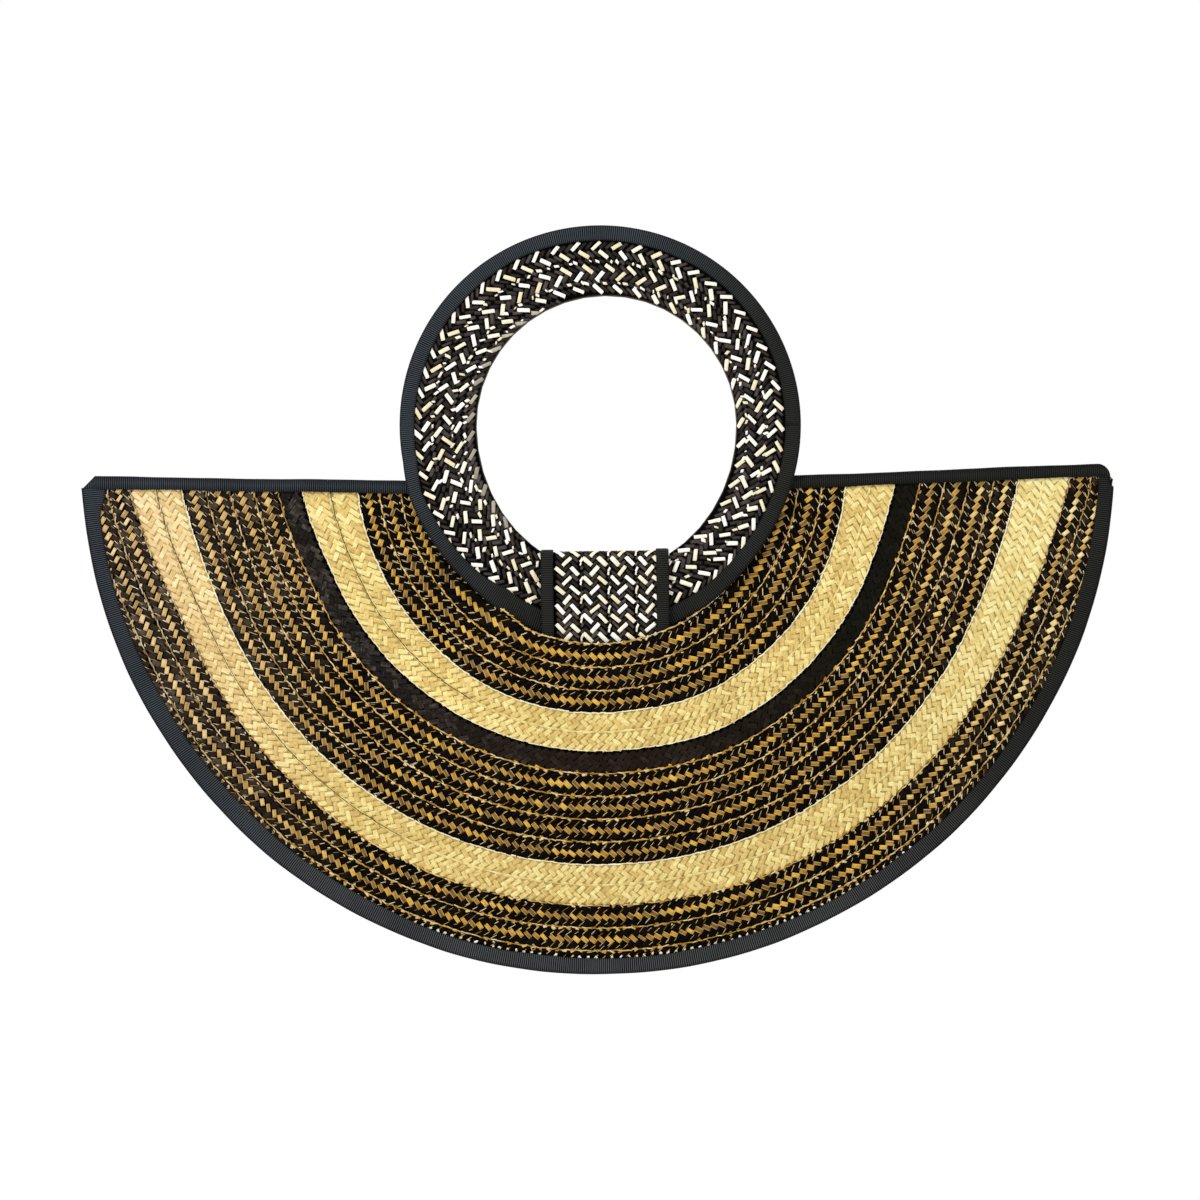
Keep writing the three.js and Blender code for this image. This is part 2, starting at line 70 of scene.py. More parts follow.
SIDE_HALF_GAP = 6.0
SWELL_POWER = 1.2
BODY_SHARE = 0.4
EDGE_SHARE = 0.92
RING_OVERLAP = 9.5
RING_DROP_POWER = 4
RING_WIDTH = 34.0
RING_LOWER_WIDTH = 34.9
HOLE_OFFSET = 3.0
SEAT_DROP = 63.6
RING_RISE = 14.3
RING_SHIFT = 1.4
RING_CLEARANCE = 0.3
TAB_PLAY = 0.8
MEETING_GAP = 0.6
TAB_WIDTH = 62.0
TAB_SHIFT = 1.3
TAB_SEWN_LENGTH = 25.0
TAB_HINGE_RISE = 1.0
HUG_END = radians(46)
TAB_START = radians(67.5)
FLARE_TOP = radians(4.5)
FLARE_END = radians(26)
FLARE_POWER = 2
FRONT, BACK = -1, 1

MIXED, CREAM, DARK = "mixed", "cream", "dark"
MIXED_WIDTH = 10.98
ROWS = (
    [(MIXED, MIXED_WIDTH)] * 3 + [(CREAM, 9.3)] * 2 + [(DARK, 10.6)] + [(MIXED, MIXED_WIDTH)] * 4
    + [(CREAM, 9.9)] * 2 + [(MIXED, MIXED_WIDTH)] * 3
)
SEAMS = np.r_[CUTOUT_RADIUS, CUTOUT_RADIUS + np.cumsum([width for _, width in ROWS])]
PANEL_RADIUS = SEAMS[-1]
SIDE_WIDTH = (PANEL_SIDE_RADIUS - CUTOUT_SIDE_RADIUS - FIRST_SIDE_WIDTH) / SIDE_ROWS
RING_RADIUS = CUTOUT_SIDE_RADIUS + RING_OVERLAP
RING_DROP = CUTOUT_RADIUS + RING_RISE - RING_CLEARANCE
HOLE_RADIUS = RING_RADIUS - RING_WIDTH
HOLE_DROP = RING_DROP - RING_LOWER_WIDTH
PANEL_STACK = LINING + LAYER_GAP + BRAID
STANDOFF = LAYER_GAP + RIBBON
RING_BRAID_HALF = CORE / 2 + LAYER_GAP + BRAID
RING_HALF = RING_BRAID_HALF + STANDOFF
TAB_HALF = BRAID / 2 + STANDOFF
TAB_PLANE = MOUTH_HALF_GAP - RING_CLEARANCE - TAB_HALF
LEG_OFFSET = RING_HALF + TAB_PLAY + TAB_HALF
RING_PLANE = TAB_PLANE - LEG_OFFSET
ARC_CENTRE_Z = -(RING_RISE + HOLE_RADIUS)
TAB_CENTRE = RING_SHIFT + TAB_SHIFT


def cutout_radius(angle):
    return CUTOUT_SIDE_RADIUS + (CUTOUT_RADIUS - CUTOUT_SIDE_RADIUS) * np.sin(angle) ** 2


TAB_REACH = abs(TAB_CENTRE) + TAB_WIDTH / 2
HINGE_Z = TAB_HINGE_RISE - math.sqrt(cutout_radius(TAB_START) ** 2 - TAB_REACH ** 2)
RING_TOP = RING_RISE + RING_RADIUS - HINGE_Z
MEETING_PLANE = RING_PLANE - MEETING_GAP / 2
LEAN = math.asin(MEETING_PLANE / math.hypot(RING_HALF, RING_TOP)) - math.atan2(RING_HALF, RING_TOP)


def smoothstep(low, high, value):
    t = np.clip((value - low) / (high - low), 0, 1)
    return t * t * (3 - 2 * t)


def rise(low, high, turn):
    """Smoothly from 0 to 1 between two turns in degrees."""
    return smoothstep(radians(low), radians(high), turn)


def panel_radius(angle):
    return PANEL_SIDE_RADIUS + (PANEL_RADIUS - PANEL_SIDE_RADIUS) * np.sin(angle) ** 2


def seam_radius(index, angle):
    """Radius of the seam inside a row; an outer row at the sides runs on under the ribbon."""
    inner, outer = cutout_radius(angle), panel_radius(angle)
    share = (SEAMS[index] - CUTOUT_RADIUS) / (PANEL_RADIUS - CUTOUT_RADIUS)
    side = FIRST_SIDE_WIDTH + (index - 1) * SIDE_WIDTH if index else 0.0
    spread = side - share * (PANEL_SIDE_RADIUS - CUTOUT_SIDE_RADIUS)
    flare = np.clip((FLARE_END - angle) / (FLARE_END - FLARE_TOP), 0, 1) ** FLARE_POWER
    return inner + share * (outer - inner) + spread * flare


def top_edge(x):
    along = (np.abs(x) - CUTOUT_SIDE_RADIUS) / (PANEL_SIDE_RADIUS - CUTOUT_SIDE_RADIUS)
    return -(TOP_DROP_AT_RING + (TOP_DROP_AT_CORNER - TOP_DROP_AT_RING) * along)


def end_angle(radius, below=0.0):
    """Where an arc meets the top edge, or a line some way below it, found by closing in on it."""
    angle = 0.0
    for _ in range(20):
        angle = math.asin((below - top_edge(radius * math.cos(angle))) / radius)
    return angle


def half_gap(x, z):
    """Half the gap between the linings at a point of the panel."""
    turn = np.arctan2(-z, np.abs(x))
    angle = np.clip(np.minimum(turn, pi - turn), 0, pi / 2)
    inner = cutout_radius(angle)
    outer = panel_radius(angle)
    share = np.clip((outer - np.hypot(x, z)) / (outer - inner), 0, 1)
    hug_height = -inner * np.sin(np.minimum(angle, HUG_END))
    back_face = RING_PLANE - (hug_height - HINGE_Z) * math.tan(LEAN) - RING_HALF / math.cos(LEAN)
    hug = back_face - RING_CLEARANCE - PANEL_STACK - STANDOFF
    edge = hug + (MOUTH_HALF_GAP - hug) * smoothstep(HUG_END, TAB_START, angle)
    body = SIDE_HALF_GAP + (BODY_HALF_GAP - SIDE_HALF_GAP) * np.sin(angle) ** SWELL_POWER
    depth = body + (edge - body) * smoothstep(BODY_SHARE, EDGE_SHARE, share)
    return EDGE_HALF_GAP + (depth - EDGE_HALF_GAP) * np.sin(share * pi / 2)


def on_arc(radius, turn):
    """x and z at a turn that runs from the left end of an arc, below its centre, to the right end."""
    return -radius * np.cos(turn), -radius * np.sin(turn)


def xyz(x, y, z):
    """Points, or strand values, of three numbers or arrays that are spread to one shape."""
    return np.stack(np.broadcast_arrays(x, y, z), -1)


def panel_point(side, x, z, beyond):
    return xyz(x, side * (half_gap(x, z) + beyond), z + ARC_CENTRE_Z)


def lengths_along(*ways):
    """How far along a line each of its points lies."""
    return np.r_[0, np.cumsum(np.hypot(*(np.diff(way) for way in ways)))]


def waver(s, seed, length, size):
    """A gentle wander along a length, the same every time."""
    rng = np.random.default_rng(seed)
    total = np.zeros_like(s)
    for octave in (1.0, 2.3, 5.1):
        total = total + np.sin(2 * pi * (s * octave / length + rng.random())) / octave
    return total * size


def linear(hex_colour):
    values = [int(hex_colour[i:i + 2], 16) / 255 for i in (1, 3, 5)]
    return [v / 12.92 if v <= 0.04045 else ((v + 0.055) / 1.055) ** 2.4 for v in values] + [1.0]


class Finish:
    """One material. Its nodes take colours, numbers and each other's outputs alike."""

    def __init__(self, name):
        self.material = bpy.data.materials.new(name)
        self.material.use_nodes = True
        self.tree = self.material.node_tree

    def feed(self, socket, value):
        if isinstance(value, str):
            socket.default_value = linear(value)
        elif isinstance(value, (int, float, tuple)):
            socket.default_value = value
        else:
            self.tree.links.new(value, socket)

    def node(self, kind, inputs, output=0, **settings):
        made = self.tree.nodes.new("ShaderNode" + kind)
        for name, value in settings.items():
            setattr(made, name, value)
        for name, value in inputs.items():
            self.feed(made.inputs[name], value)
        return made.outputs[output]

    def maths(self, operation, *values, clamp=False):
        return self.node("Math", dict(enumerate(values)), operation=operation, use_clamp=clamp)

    def add(self, a, b, clamp=False):
        return self.maths("ADD", a, b, clamp=clamp)

    def sub(self, a, b):
        return self.maths("SUBTRACT", a, b)

    def mul(self, a, b, clamp=False):
        return self.maths("MULTIPLY", a, b, clamp=clamp)

    def fade(self, a, b, steepness):
        """Rises from 0 to 1 as a passes b."""
        return self.mul(self.sub(a, b), steepness, clamp=True)

    def split(self, vector):
        made = self.tree.nodes.new("ShaderNodeSeparateXYZ")
        self.feed(made.inputs[0], vector)
        return made.outputs

    def strand(self):
        """What each point of a strand keeps: the strand's own tone, the place across it and along it."""
        return self.split(self.node("Attribute", {}, "Vector", attribute_name="strand"))

    def place(self):
        return self.node("NewGeometry", {}, "Position")

    def noise(self, vector, scale, detail=2.0, roughness=0.5):
        inputs = {"Vector": vector, "Scale": scale, "Detail": detail, "Roughness": roughness}
        return self.node("TexNoise", inputs)

    def mix(self, factor, a, b):
        return self.node("Mix", {0: factor, 6: a, 7: b}, 2, data_type="RGBA")

    def ramp(self, factor, stops):
        made = self.tree.nodes.new("ShaderNodeValToRGB")
        elements = made.color_ramp.elements
        while len(elements) < len(stops):
            elements.new(0.5)
        for element, (position, colour) in zip(elements, stops.items()):
            element.position = position
            element.color = linear(colour)
        self.feed(made.inputs[0], factor)
        return made.outputs[0]

    def sides(self, start):
        """How far a point lies towards the left and the right side of the bag, both from start on."""
        x, _, _ = self.split(self.place())
        return self.fade(-start, x, 11.0), self.fade(x, start + 0.01, 11.0)

    def done(self, colour, roughness, gloss, height, relief, depth):
        normal = self.node("Bump", {"Strength": relief, "Distance": depth, "Height": height})
        inputs = self.tree.nodes["Principled BSDF"].inputs
        self.feed(inputs["Base Color"], colour)
        self.feed(inputs["Roughness"], roughness)
        self.feed(inputs["Specular IOR Level"], gloss)
        self.feed(inputs["Normal"], normal)
        return self.material


def straw(name, tones, rim, painted_rim_share=0.3, painted_end_shade=0.2, roughness=0.6, gloss=0.15, fibre=0.35,
          left=None, right=None, own=0.62, start=0.12):
    """Flat plant strand: its own tone, fibres along it, painted light at its rims and painted shade at its
    ends.

    The rim colour is a painted highlight where it is lighter than the strand and painted shade where it is
    darker;
    the end colour is painted shade where the strand dips under its neighbours. left and right are its tones
    at the sides of the bag, partly the straw's own change of colour and partly painted sheen and shade, for
    how the light falls there; own is how much of a strand's tone mix is the same all over it.
    """
    look = Finish(name)
    add, sub, mul = look.add, look.sub, look.mul
    tone, across, along = look.strand()
    seed = mul(tone, 91.0)
    lines = look.node("CombineXYZ", {0: mul(across, 9.0), 1: mul(along, 0.8), 2: seed})
    fibres = look.noise(lines, 1.0, 3.0, 0.6)
    blotch = look.noise(look.node("CombineXYZ", {0: across, 1: mul(along, 1.5), 2: seed}), 1.6, 1.0)
    shade = add(mul(tone, own), mul(blotch, 1 - own))
    shade = add(shade, mul(sub(fibres, 0.5), fibre), clamp=True)
    colour = look.ramp(shade, tones)
    # Side tones: partly the straw's own change of colour, partly painted sheen and shade at the bag's sides
    if left:
        to_left, to_right = look.sides(start)
        colour = look.mix(to_left, colour, look.ramp(shade, left))
        colour = look.mix(to_right, colour, look.ramp(shade, right))

    def near_ends(place, power, amount):
        """Grows from the middle of a width or length to both its ends."""
        off_middle = look.maths("ABSOLUTE", sub(mul(place, 2.0), 1.0))
        return mul(look.maths("POWER", off_middle, power), amount, clamp=True)

    # Painted light: a lighter rim colour is a painted highlight, a darker one painted shade; the ends get
    # painted shade
    colour = look.mix(near_ends(across, 4.0, painted_rim_share), colour, rim)
    colour = look.mix(near_ends(along, 6.0, painted_end_shade), colour, "#0b0908")
    return look.done(colour, add(mul(fibres, 0.25), roughness - 0.12), gloss, fibres, 0.35, 0.0002)


RIB_PITCH = 1.02
THREAD_PITCH = 0.9
TAB_PLACE = (0.01, -0.02, -0.16)  # round it the ribbon is painted blacker, as painted shade; in metres


def ribbed_ribbon(name, tones, right, bottom):
    """Grosgrain ribbon: ribs square to its length and slow changes of colour.

    Its colour also carries painted light: painted shade along its edges and fold, a bluish tone at the left
    and top that is partly its own tint and partly painted sheen, a painted lighter grey below, and painted
    shade at the right, at the top right and round the tab.
    """
    look = Finish(name)
    add, mul, fade = look.add, look.mul, look.fade
    # edge: how much painted shade the ribbon gets there, near its edges and fold
    length, _, edge = look.strand()
    place = look.place()
    x, _, z = look.split(place)
    phase = add(mul(length, 2 * pi / RIB_PITCH), mul(look.noise(place, 160.0), 2.5))
    rib = add(mul(look.maths("SINE", phase), 0.5), 0.5)
    slow = look.noise(place, 38.0, 3.0)
    fine = look.noise(place, 900.0)
    shade = add(add(mul(rib, 0.6), mul(slow, 0.3)), mul(fine, 0.16), clamp=True)
    # Painted light by place: painted shade at the right and round the tab, deeper at the top right; a
    # painted lighter grey below
    from_tab = look.node("VectorMath", {0: place, 1: TAB_PLACE}, "Value", operation="DISTANCE")
    to_right = look.maths("MAXIMUM", fade(x, 0.015, 14.0), fade(0.135, from_tab, 12.0))
    top_right_painted_shade = mul(mul(fade(z, -0.089, 120.0), fade(x, 0.1, 20.0)), 0.8)
    colour = look.mix(to_right, look.ramp(shade, tones), look.ramp(shade, right))
    colour = look.mix(top_right_painted_shade, colour, "#030302")
    colour = look.mix(mul(fade(-0.22, z, 12.0), 0.8), colour, look.ramp(shade, bottom))
    # Painted shade along the ribbon's edges and fold
    colour = look.mix(mul(edge, 0.9, clamp=True), colour, "#020303")
    return look.done(colour, 0.7, 0.15, add(rib, mul(fine, 0.5)), 0.6, 0.0004)


def cloth(name, low, high):
    """Plain woven cloth, its threads crossing at a right angle."""
    look = Finish(name)
    add, mul = look.add, look.mul
    x, z, _ = look.strand()
    warp, weft = (look.maths("SINE", mul(way, 2 * pi / THREAD_PITCH)) for way in (x, z))
    weave = add(mul(mul(warp, weft), 0.5), 0.5)
    slow = look.noise(look.place(), 45.0, 3.0)
    colour = look.ramp(add(mul(weave, 0.5), mul(slow, 0.5)), {0.2: low, 0.8: high})
    return look.done(colour, 0.85, 0.5, weave, 0.4, 0.0003)


def board(name, low, high):
    """Stiff speckled board."""
    look = Finish(name)
    specks = look.noise(look.place(), 700.0, 4.0, 0.7)
    return look.done(look.ramp(specks, {0.3: low, 0.7: high}), 0.85, 0.5, specks, 0.3, 0.0002)


# Strand materials. Each rim colour is painted light: a painted highlight where lighter than the strand,
# painted shade where darker. Each end colour is painted shade, and left and right tones are partly painted
# sheen and shade
GOLD = straw(
    "gold_straw", {0.1: "#5b3c05", 0.4: "#93650f", 0.65: "#c38e1f", 0.9: "#eab944"}, "#f4dc98",
    painted_rim_share=0.8, painted_end_shade=0.5, roughness=0.5, gloss=0.2, fibre=0.8,
    left={0.1: "#86642f", 0.5: "#cda365", 0.9: "#f0d4a0"},
    right={0.1: "#6f5219", 0.5: "#c99a42", 0.9: "#fff0b0"},
)
# Black strands: their lighter left and right tones are painted sheen
BLACK = straw(
    "black_straw", {0.0: "#000000", 0.6: "#060302", 1.0: "#191109"}, "#2a1f12",
    painted_rim_share=0.45, painted_end_shade=0.5, gloss=0.04, fibre=0.5,
    left={0.0: "#15100c", 0.6: "#342b22", 1.0: "#6a5d4e"},
    right={0.0: "#040201", 0.6: "#18110b", 1.0: "#473b2e"},
)
PALE = straw(
    "pale_straw", {0.0: "#b8944e", 0.4: "#dcbe71", 0.64: "#f1db8e", 0.92: "#fff5b2"}, "#d4bb74",
    painted_rim_share=0.15, painted_end_shade=0.0, gloss=0.12, fibre=1.0, own=0.4,
    left={0.0: "#c09a60", 0.5: "#e9cb90", 1.0: "#fff4c4"},
    right={0.0: "#cdb064", 0.5: "#f1df94", 1.0: "#fffdc8"},
)
# The cream ground under the floats, darker than they are: partly painted shade in the gaps between them
CREAM_GROUND_AND_SHADE = straw(
    "cream_ground_and_painted_shade", {0.0: "#a68f50", 1.0: "#bea75f"}, "#a68f50",
    painted_rim_share=0.0, painted_end_shade=0.0, roughness=0.7, gloss=0.1, fibre=0.3,
    left={0.0: "#ac905a", 1.0: "#c5a86e"}, right={0.0: "#bea562", 1.0: "#d8bf79"},
)
CREAM_EDGE = straw("cream_edge", {0.0: "#f3dfa0", 1.0: "#fffbe0"}, "#fff8d8", painted_end_shade=0.0, fibre=0.15)
DARK_LINE = straw("dark_line", {0.0: "#33260f", 1.0: "#6b5226"}, "#33260f", gloss=0.1)
# Thin dark strips in the gaps between cream floats: painted shade
SLIT_PAINTED_SHADE = straw("slit_painted_shade", {0.0: "#7b6632", 1.0: "#b09a5c"}, "#7b6632", gloss=0.1)
WHITE = straw(
    "white_straw", {0.0: "#e0cb95", 0.3: "#f2e8c4", 0.55: "#fff9e8", 1.0: "#ffffff"}, "#fffdf2",
    painted_rim_share=1.0, painted_end_shade=0.0, roughness=0.55, fibre=0.4,
)
# Thin pale strands in the gaps between dark floats: painted highlights along the strands' edges
SLIVER_HIGHLIGHT = straw(
    "sliver_painted_highlight", {0.0: "#a8946a", 0.5: "#e2cc9a", 1.0: "#fff4d0"}, "#c9b68a",
    painted_end_shade=0.3, roughness=0.55, fibre=0.3,
)
EDGE_GOLD = straw(
    "edge_straw", {0.0: "#6f4d12", 0.4: "#c0933a", 0.7: "#eccb88", 1.0: "#fff3cc"}, "#3c2a08",
    painted_rim_share=0.4, painted_end_shade=0.6, roughness=0.5, fibre=0.6,
    left={0.0: "#4f3a20", 0.5: "#ab8d61", 1.0: "#f3e2bb"},
    right={0.0: "#6a5018", 0.5: "#bb9a56", 1.0: "#fbeaba"},
)
# Dark row strands: the grey left tones are painted sheen, the nearly black right tones painted shade
BROWN = straw(
    "brown_straw", {0.0: "#170f09", 0.6: "#241b14", 1.0: "#3d332b"}, "#2a221c",
    painted_rim_share=0.1, roughness=0.65, gloss=0.04, fibre=1.1, own=0.4, start=0.02,
    left={0.0: "#0b0907", 0.45: "#1e1a17", 0.7: "#3a342f", 1.0: "#6c645c"},
    right={0.0: "#0c0a05", 0.6: "#13110a", 1.0: "#211d12"},
)
# Near-black ground under the floats, partly painted shade in the gaps between them, and the painted shadows
# round light floats
DARK_GROUND_AND_SHADE = straw(
    "dark_ground_and_painted_shade", {0.0: "#010101", 1.0: "#050403"}, "#010101",
    painted_rim_share=0.0, painted_end_shade=0.0, roughness=0.7, gloss=0.03,
)
# Dark ring strands: their near-black rims and ends are painted shade, dark outlines where they dip between
# neighbours
CHARCOAL = straw(
    "charcoal_straw", {0.0: "#13100e", 0.5: "#322c28", 1.0: "#5f5753"}, "#010000",
    painted_rim_share=1.4, painted_end_shade=1.2, roughness=0.55, gloss=0.06, fibre=0.6,
)
# The white straw painted greyer: painted shade on the floats at the hole's inner edge, which turn away from
# the light
SHADED_WHITE = straw(
    "white_straw_painted_shade", {0.0: "#8a8272", 1.0: "#c4bdaa"}, "#4b463e",
    painted_rim_share=0.4, painted_end_shade=0.3, roughness=0.55,
)
# tones: bluish at the left and top, partly its own tint and partly painted sheen; right: painted shade;
# bottom: a painted lighter grey
RIBBED = ribbed_ribbon(
    "grosgrain", {0.3: "#010202", 0.5: "#0f1418", 0.75: "#444b52"},
    right={0.3: "#010100", 0.5: "#080906", 0.75: "#2d2e28"},
    bottom={0.3: "#020303", 0.5: "#141616", 0.75: "#585a5a"},
)
LINING_CLOTH = cloth("lining_cloth", "#1d1a18", "#332d29")
CORE_BOARD = board("ring_board", "#7d6b4f", "#a08c6a")


def put(name, data):
    """Adds an object to the scene."""
    made = bpy.data.objects.new(name, data)
    bpy.context.scene.collection.objects.link(made)
    return made


class Patchwork:
    """Gathers grids of points with their strand attributes and materials, and makes one mesh of them."""

    def __init__(self):
        self.points, self.quads, self.strands, self.slots = [], [], [], []
        self.materials = []
        self.count = 0

    def add(self, points, strands, material, closed=(False, False)):
        """points: (..., rows, columns, 3) in millimetres; closed: whether rows and columns join up."""
        rows, columns = points.shape[-3:-1]
        points = points.reshape(-1, rows, columns, 3)
        strands = np.broadcast_to(strands, points.shape).reshape(-1, 3)
        patches = len(points)
        i = np.arange(rows if closed[0] else rows - 1)
        j = np.arange(columns if closed[1] else columns - 1)
        i, j = (grid.ravel() for grid in np.meshgrid(i, j, indexing="ij"))
        i2, j2 = (i + 1) % rows, (j + 1) % columns
        quads = np.stack([i * columns + j, i2 * columns + j, i2 * columns + j2, i * columns + j2], -1)
        offsets = self.count + np.arange(patches)[:, None, None] * rows * columns
        if material not in self.materials:
            self.materials.append(material)
        self.points.append(points.reshape(-1, 3))
        self.strands.append(strands)
        self.quads.append((quads[None] + offsets).reshape(-1, 4))
        self.slots.append(np.full(patches * len(quads), self.materials.index(material), np.int32))
        self.count += patches * rows * columns

    def build(self, name, flip=False):
        points = np.concatenate(self.points) * MM
        quads = np.concatenate(self.quads)
        if flip:
            quads = quads[:, ::-1]
        mesh = bpy.data.meshes.new(name)
        mesh.vertices.add(len(points))
        mesh.vertices.foreach_set("co", points.astype(np.float32).ravel())
        mesh.loops.add(quads.size)
        mesh.loops.foreach_set("vertex_index", quads.astype(np.int32).ravel())
        mesh.polygons.add(len(quads))
        mesh.polygons.foreach_set("loop_start", np.arange(0, quads.size, 4, dtype=np.int32))
        for material in self.materials:
            mesh.materials.append(material)
        mesh.polygons.foreach_set("material_index", np.concatenate(self.slots))
        mesh.polygons.foreach_set("use_smooth", np.ones(len(quads), bool))
        attribute = mesh.attributes.new("strand", "FLOAT_VECTOR", "POINT")
        attribute.data.foreach_set("vector", np.concatenate(self.strands).astype(np.float32).ravel())
        mesh.update()
        mesh.validate()
        return put(name, mesh)


# A strand's visible length: five stations along it, four across it
ALONG = np.array([-1.0, -0.66, 0.0, 0.66, 1.0])
ALONG_LIFT = np.array([0.0, 0.86, 1.0, 0.86, 0.0])
ACROSS = np.array([-1.0, -0.6, 0.6, 1.0])
ACROSS_LIFT = np.array([0.0, 0.9, 0.9, 0.0])
SHADE_LIFT = 0.48  # of the painted shadow round a light float: a dark rim where it dips between its neighbours


class Weave(Patchwork):
    """A woven surface. Its strands lie at places along and across it, and each kind knows their points."""

    def __init__(self, seed, floor):
        super().__init__()
        self.rng = np.random.default_rng(seed)
        self.floor = floor

    def vary(self, size, count):
        return self.rng.normal(0, size, count)

    def seen(self, along, across):
        return np.ones(along.shape, bool)

    def lay(self, along, across, angle, length, width, lift, tones, material, skew=0.0, sunk=0.0,
            shade=False):
        """Lays floats with their middles at these places, where one is seen; shade: a painted shadow round
        it.
        """
        if shade:
            # The painted shadow: a dark patch a little larger than the float, laid under it
            self.lay(along, across, angle, length + 0.5, width + 0.6, SHADE_LIFT, tones, DARK_GROUND_AND_SHADE, skew)
        seen = self.seen(along, across)
        if not seen.any():
            return
        sizes = np.broadcast_arrays(along, across, angle, length, width, lift, tones)
        along, across, angle, length, width, lift, tones = (size[seen][:, None, None] for size in sizes)
        a = ALONG[:, None] * length / 2
        b = ACROSS * width / 2
        a = a + skew * b
        ds = a * np.cos(angle) - b * np.sin(angle)
        dr = a * np.sin(angle) + b * np.cos(angle)
        height = self.floor - sunk + lift * ALONG_LIFT[:, None] * ACROSS_LIFT
        values = xyz(tones, (ACROSS + 1) / 2, (ALONG[:, None] + 1) / 2)
        self.add(self.place(along, across, ds, dr, height), values, material)


CORNER = 6.4  # size of the rounded or cut-off corner
LEFT_END = PANEL_SIDE_RADIUS + 0.1
RIGHT_END = PANEL_SIDE_RADIUS - 1.8


def corner_drop(x):
    """How far a corner falls below the top edge: cut off on the left, rounded on the right."""
    fall = np.clip(np.abs(x) - np.where(x < 0, LEFT_END, RIGHT_END) + CORNER, 0, CORNER)
    return np.where(x < 0, fall, CORNER - np.sqrt(CORNER ** 2 - fall ** 2))


def under_corner(x, z):
    """Brings a height down under the edge of a panel's corner."""
    drop = corner_drop(x)
    return np.minimum(z, top_edge(x) - drop - 0.8 * (drop > 0.2))


def edge_lift(turn):
    """How far the panel's inner edge reaches in over the ring's ribbon, to the left of the tab."""
    return 2.8 * rise(32, 52, turn) * (1 - rise(56, 69, turn))


# How far some seams lie out of true, counted from the cutout; the others lie in step between them
STRAY_SEAMS = [0, 3, 5, 10, 12, 15]
LEFT_STRAY = [0, -3.3, 0, 0, -1.2, 0]
LEFT_TOP_STRAY = [0, 0, 1.2, 0, 2.4, 0]
RIGHT_STRAY = [0, 1.7, 2.3, 1.2, 1.4, 0]
RIGHT_TOP_STRAY = [0, -1.7, -0.8, 0.6, 1.6, 0]


def stray(index, turn):
    """How far a seam wanders from its even place, as hand-sewn rows do."""
    def amount(strays):
        return np.interp(index, STRAY_SEAMS, strays)

    left = amount(LEFT_STRAY) * (1 - rise(20, 75, turn)) + amount(LEFT_TOP_STRAY) * (1 - rise(10, 25, turn))
    right = amount(RIGHT_STRAY) * rise(95, 115, turn) + amount(RIGHT_TOP_STRAY) * rise(142, 165, turn)
    return left + right


FLOOR = LINING + LAYER_GAP + 0.75  # top of a row's ground, beyond the lining's inner face
CREST = PANEL_STACK - FLOOR  # how far a float stands above it
PITCH = 3.93  # from float to float along a row
FLOAT_ANGLE = radians(38)
STEEP_ANGLE = FLOAT_ANGLE + 0.05
MIDDLE_LINE = 0.53  # where a row's three lines of floats lie, as shares of its width
OUTER_LINES = (0.24, 0.81)
BLACK_WIDTH = 2.75
LAST_TIPS = 0.28  # where the last row's floats go under the ribbon
LOOKS = {
    MIXED: dict(across=GOLD, along=BLACK, ground=DARK_GROUND_AND_SHADE, lift=1.0, width=2.05, spread=0.24, stretch=4.0),
    CREAM: dict(
        across=PALE, along=PALE, ground=CREAM_GROUND_AND_SHADE, lift=0.42, width=2.32, spread=0.14, stretch=4.75,
    ),
    DARK: dict(across=BROWN, along=BROWN, ground=DARK_GROUND_AND_SHADE, lift=0.4, width=2.4, spread=0.1, stretch=4.8),
}


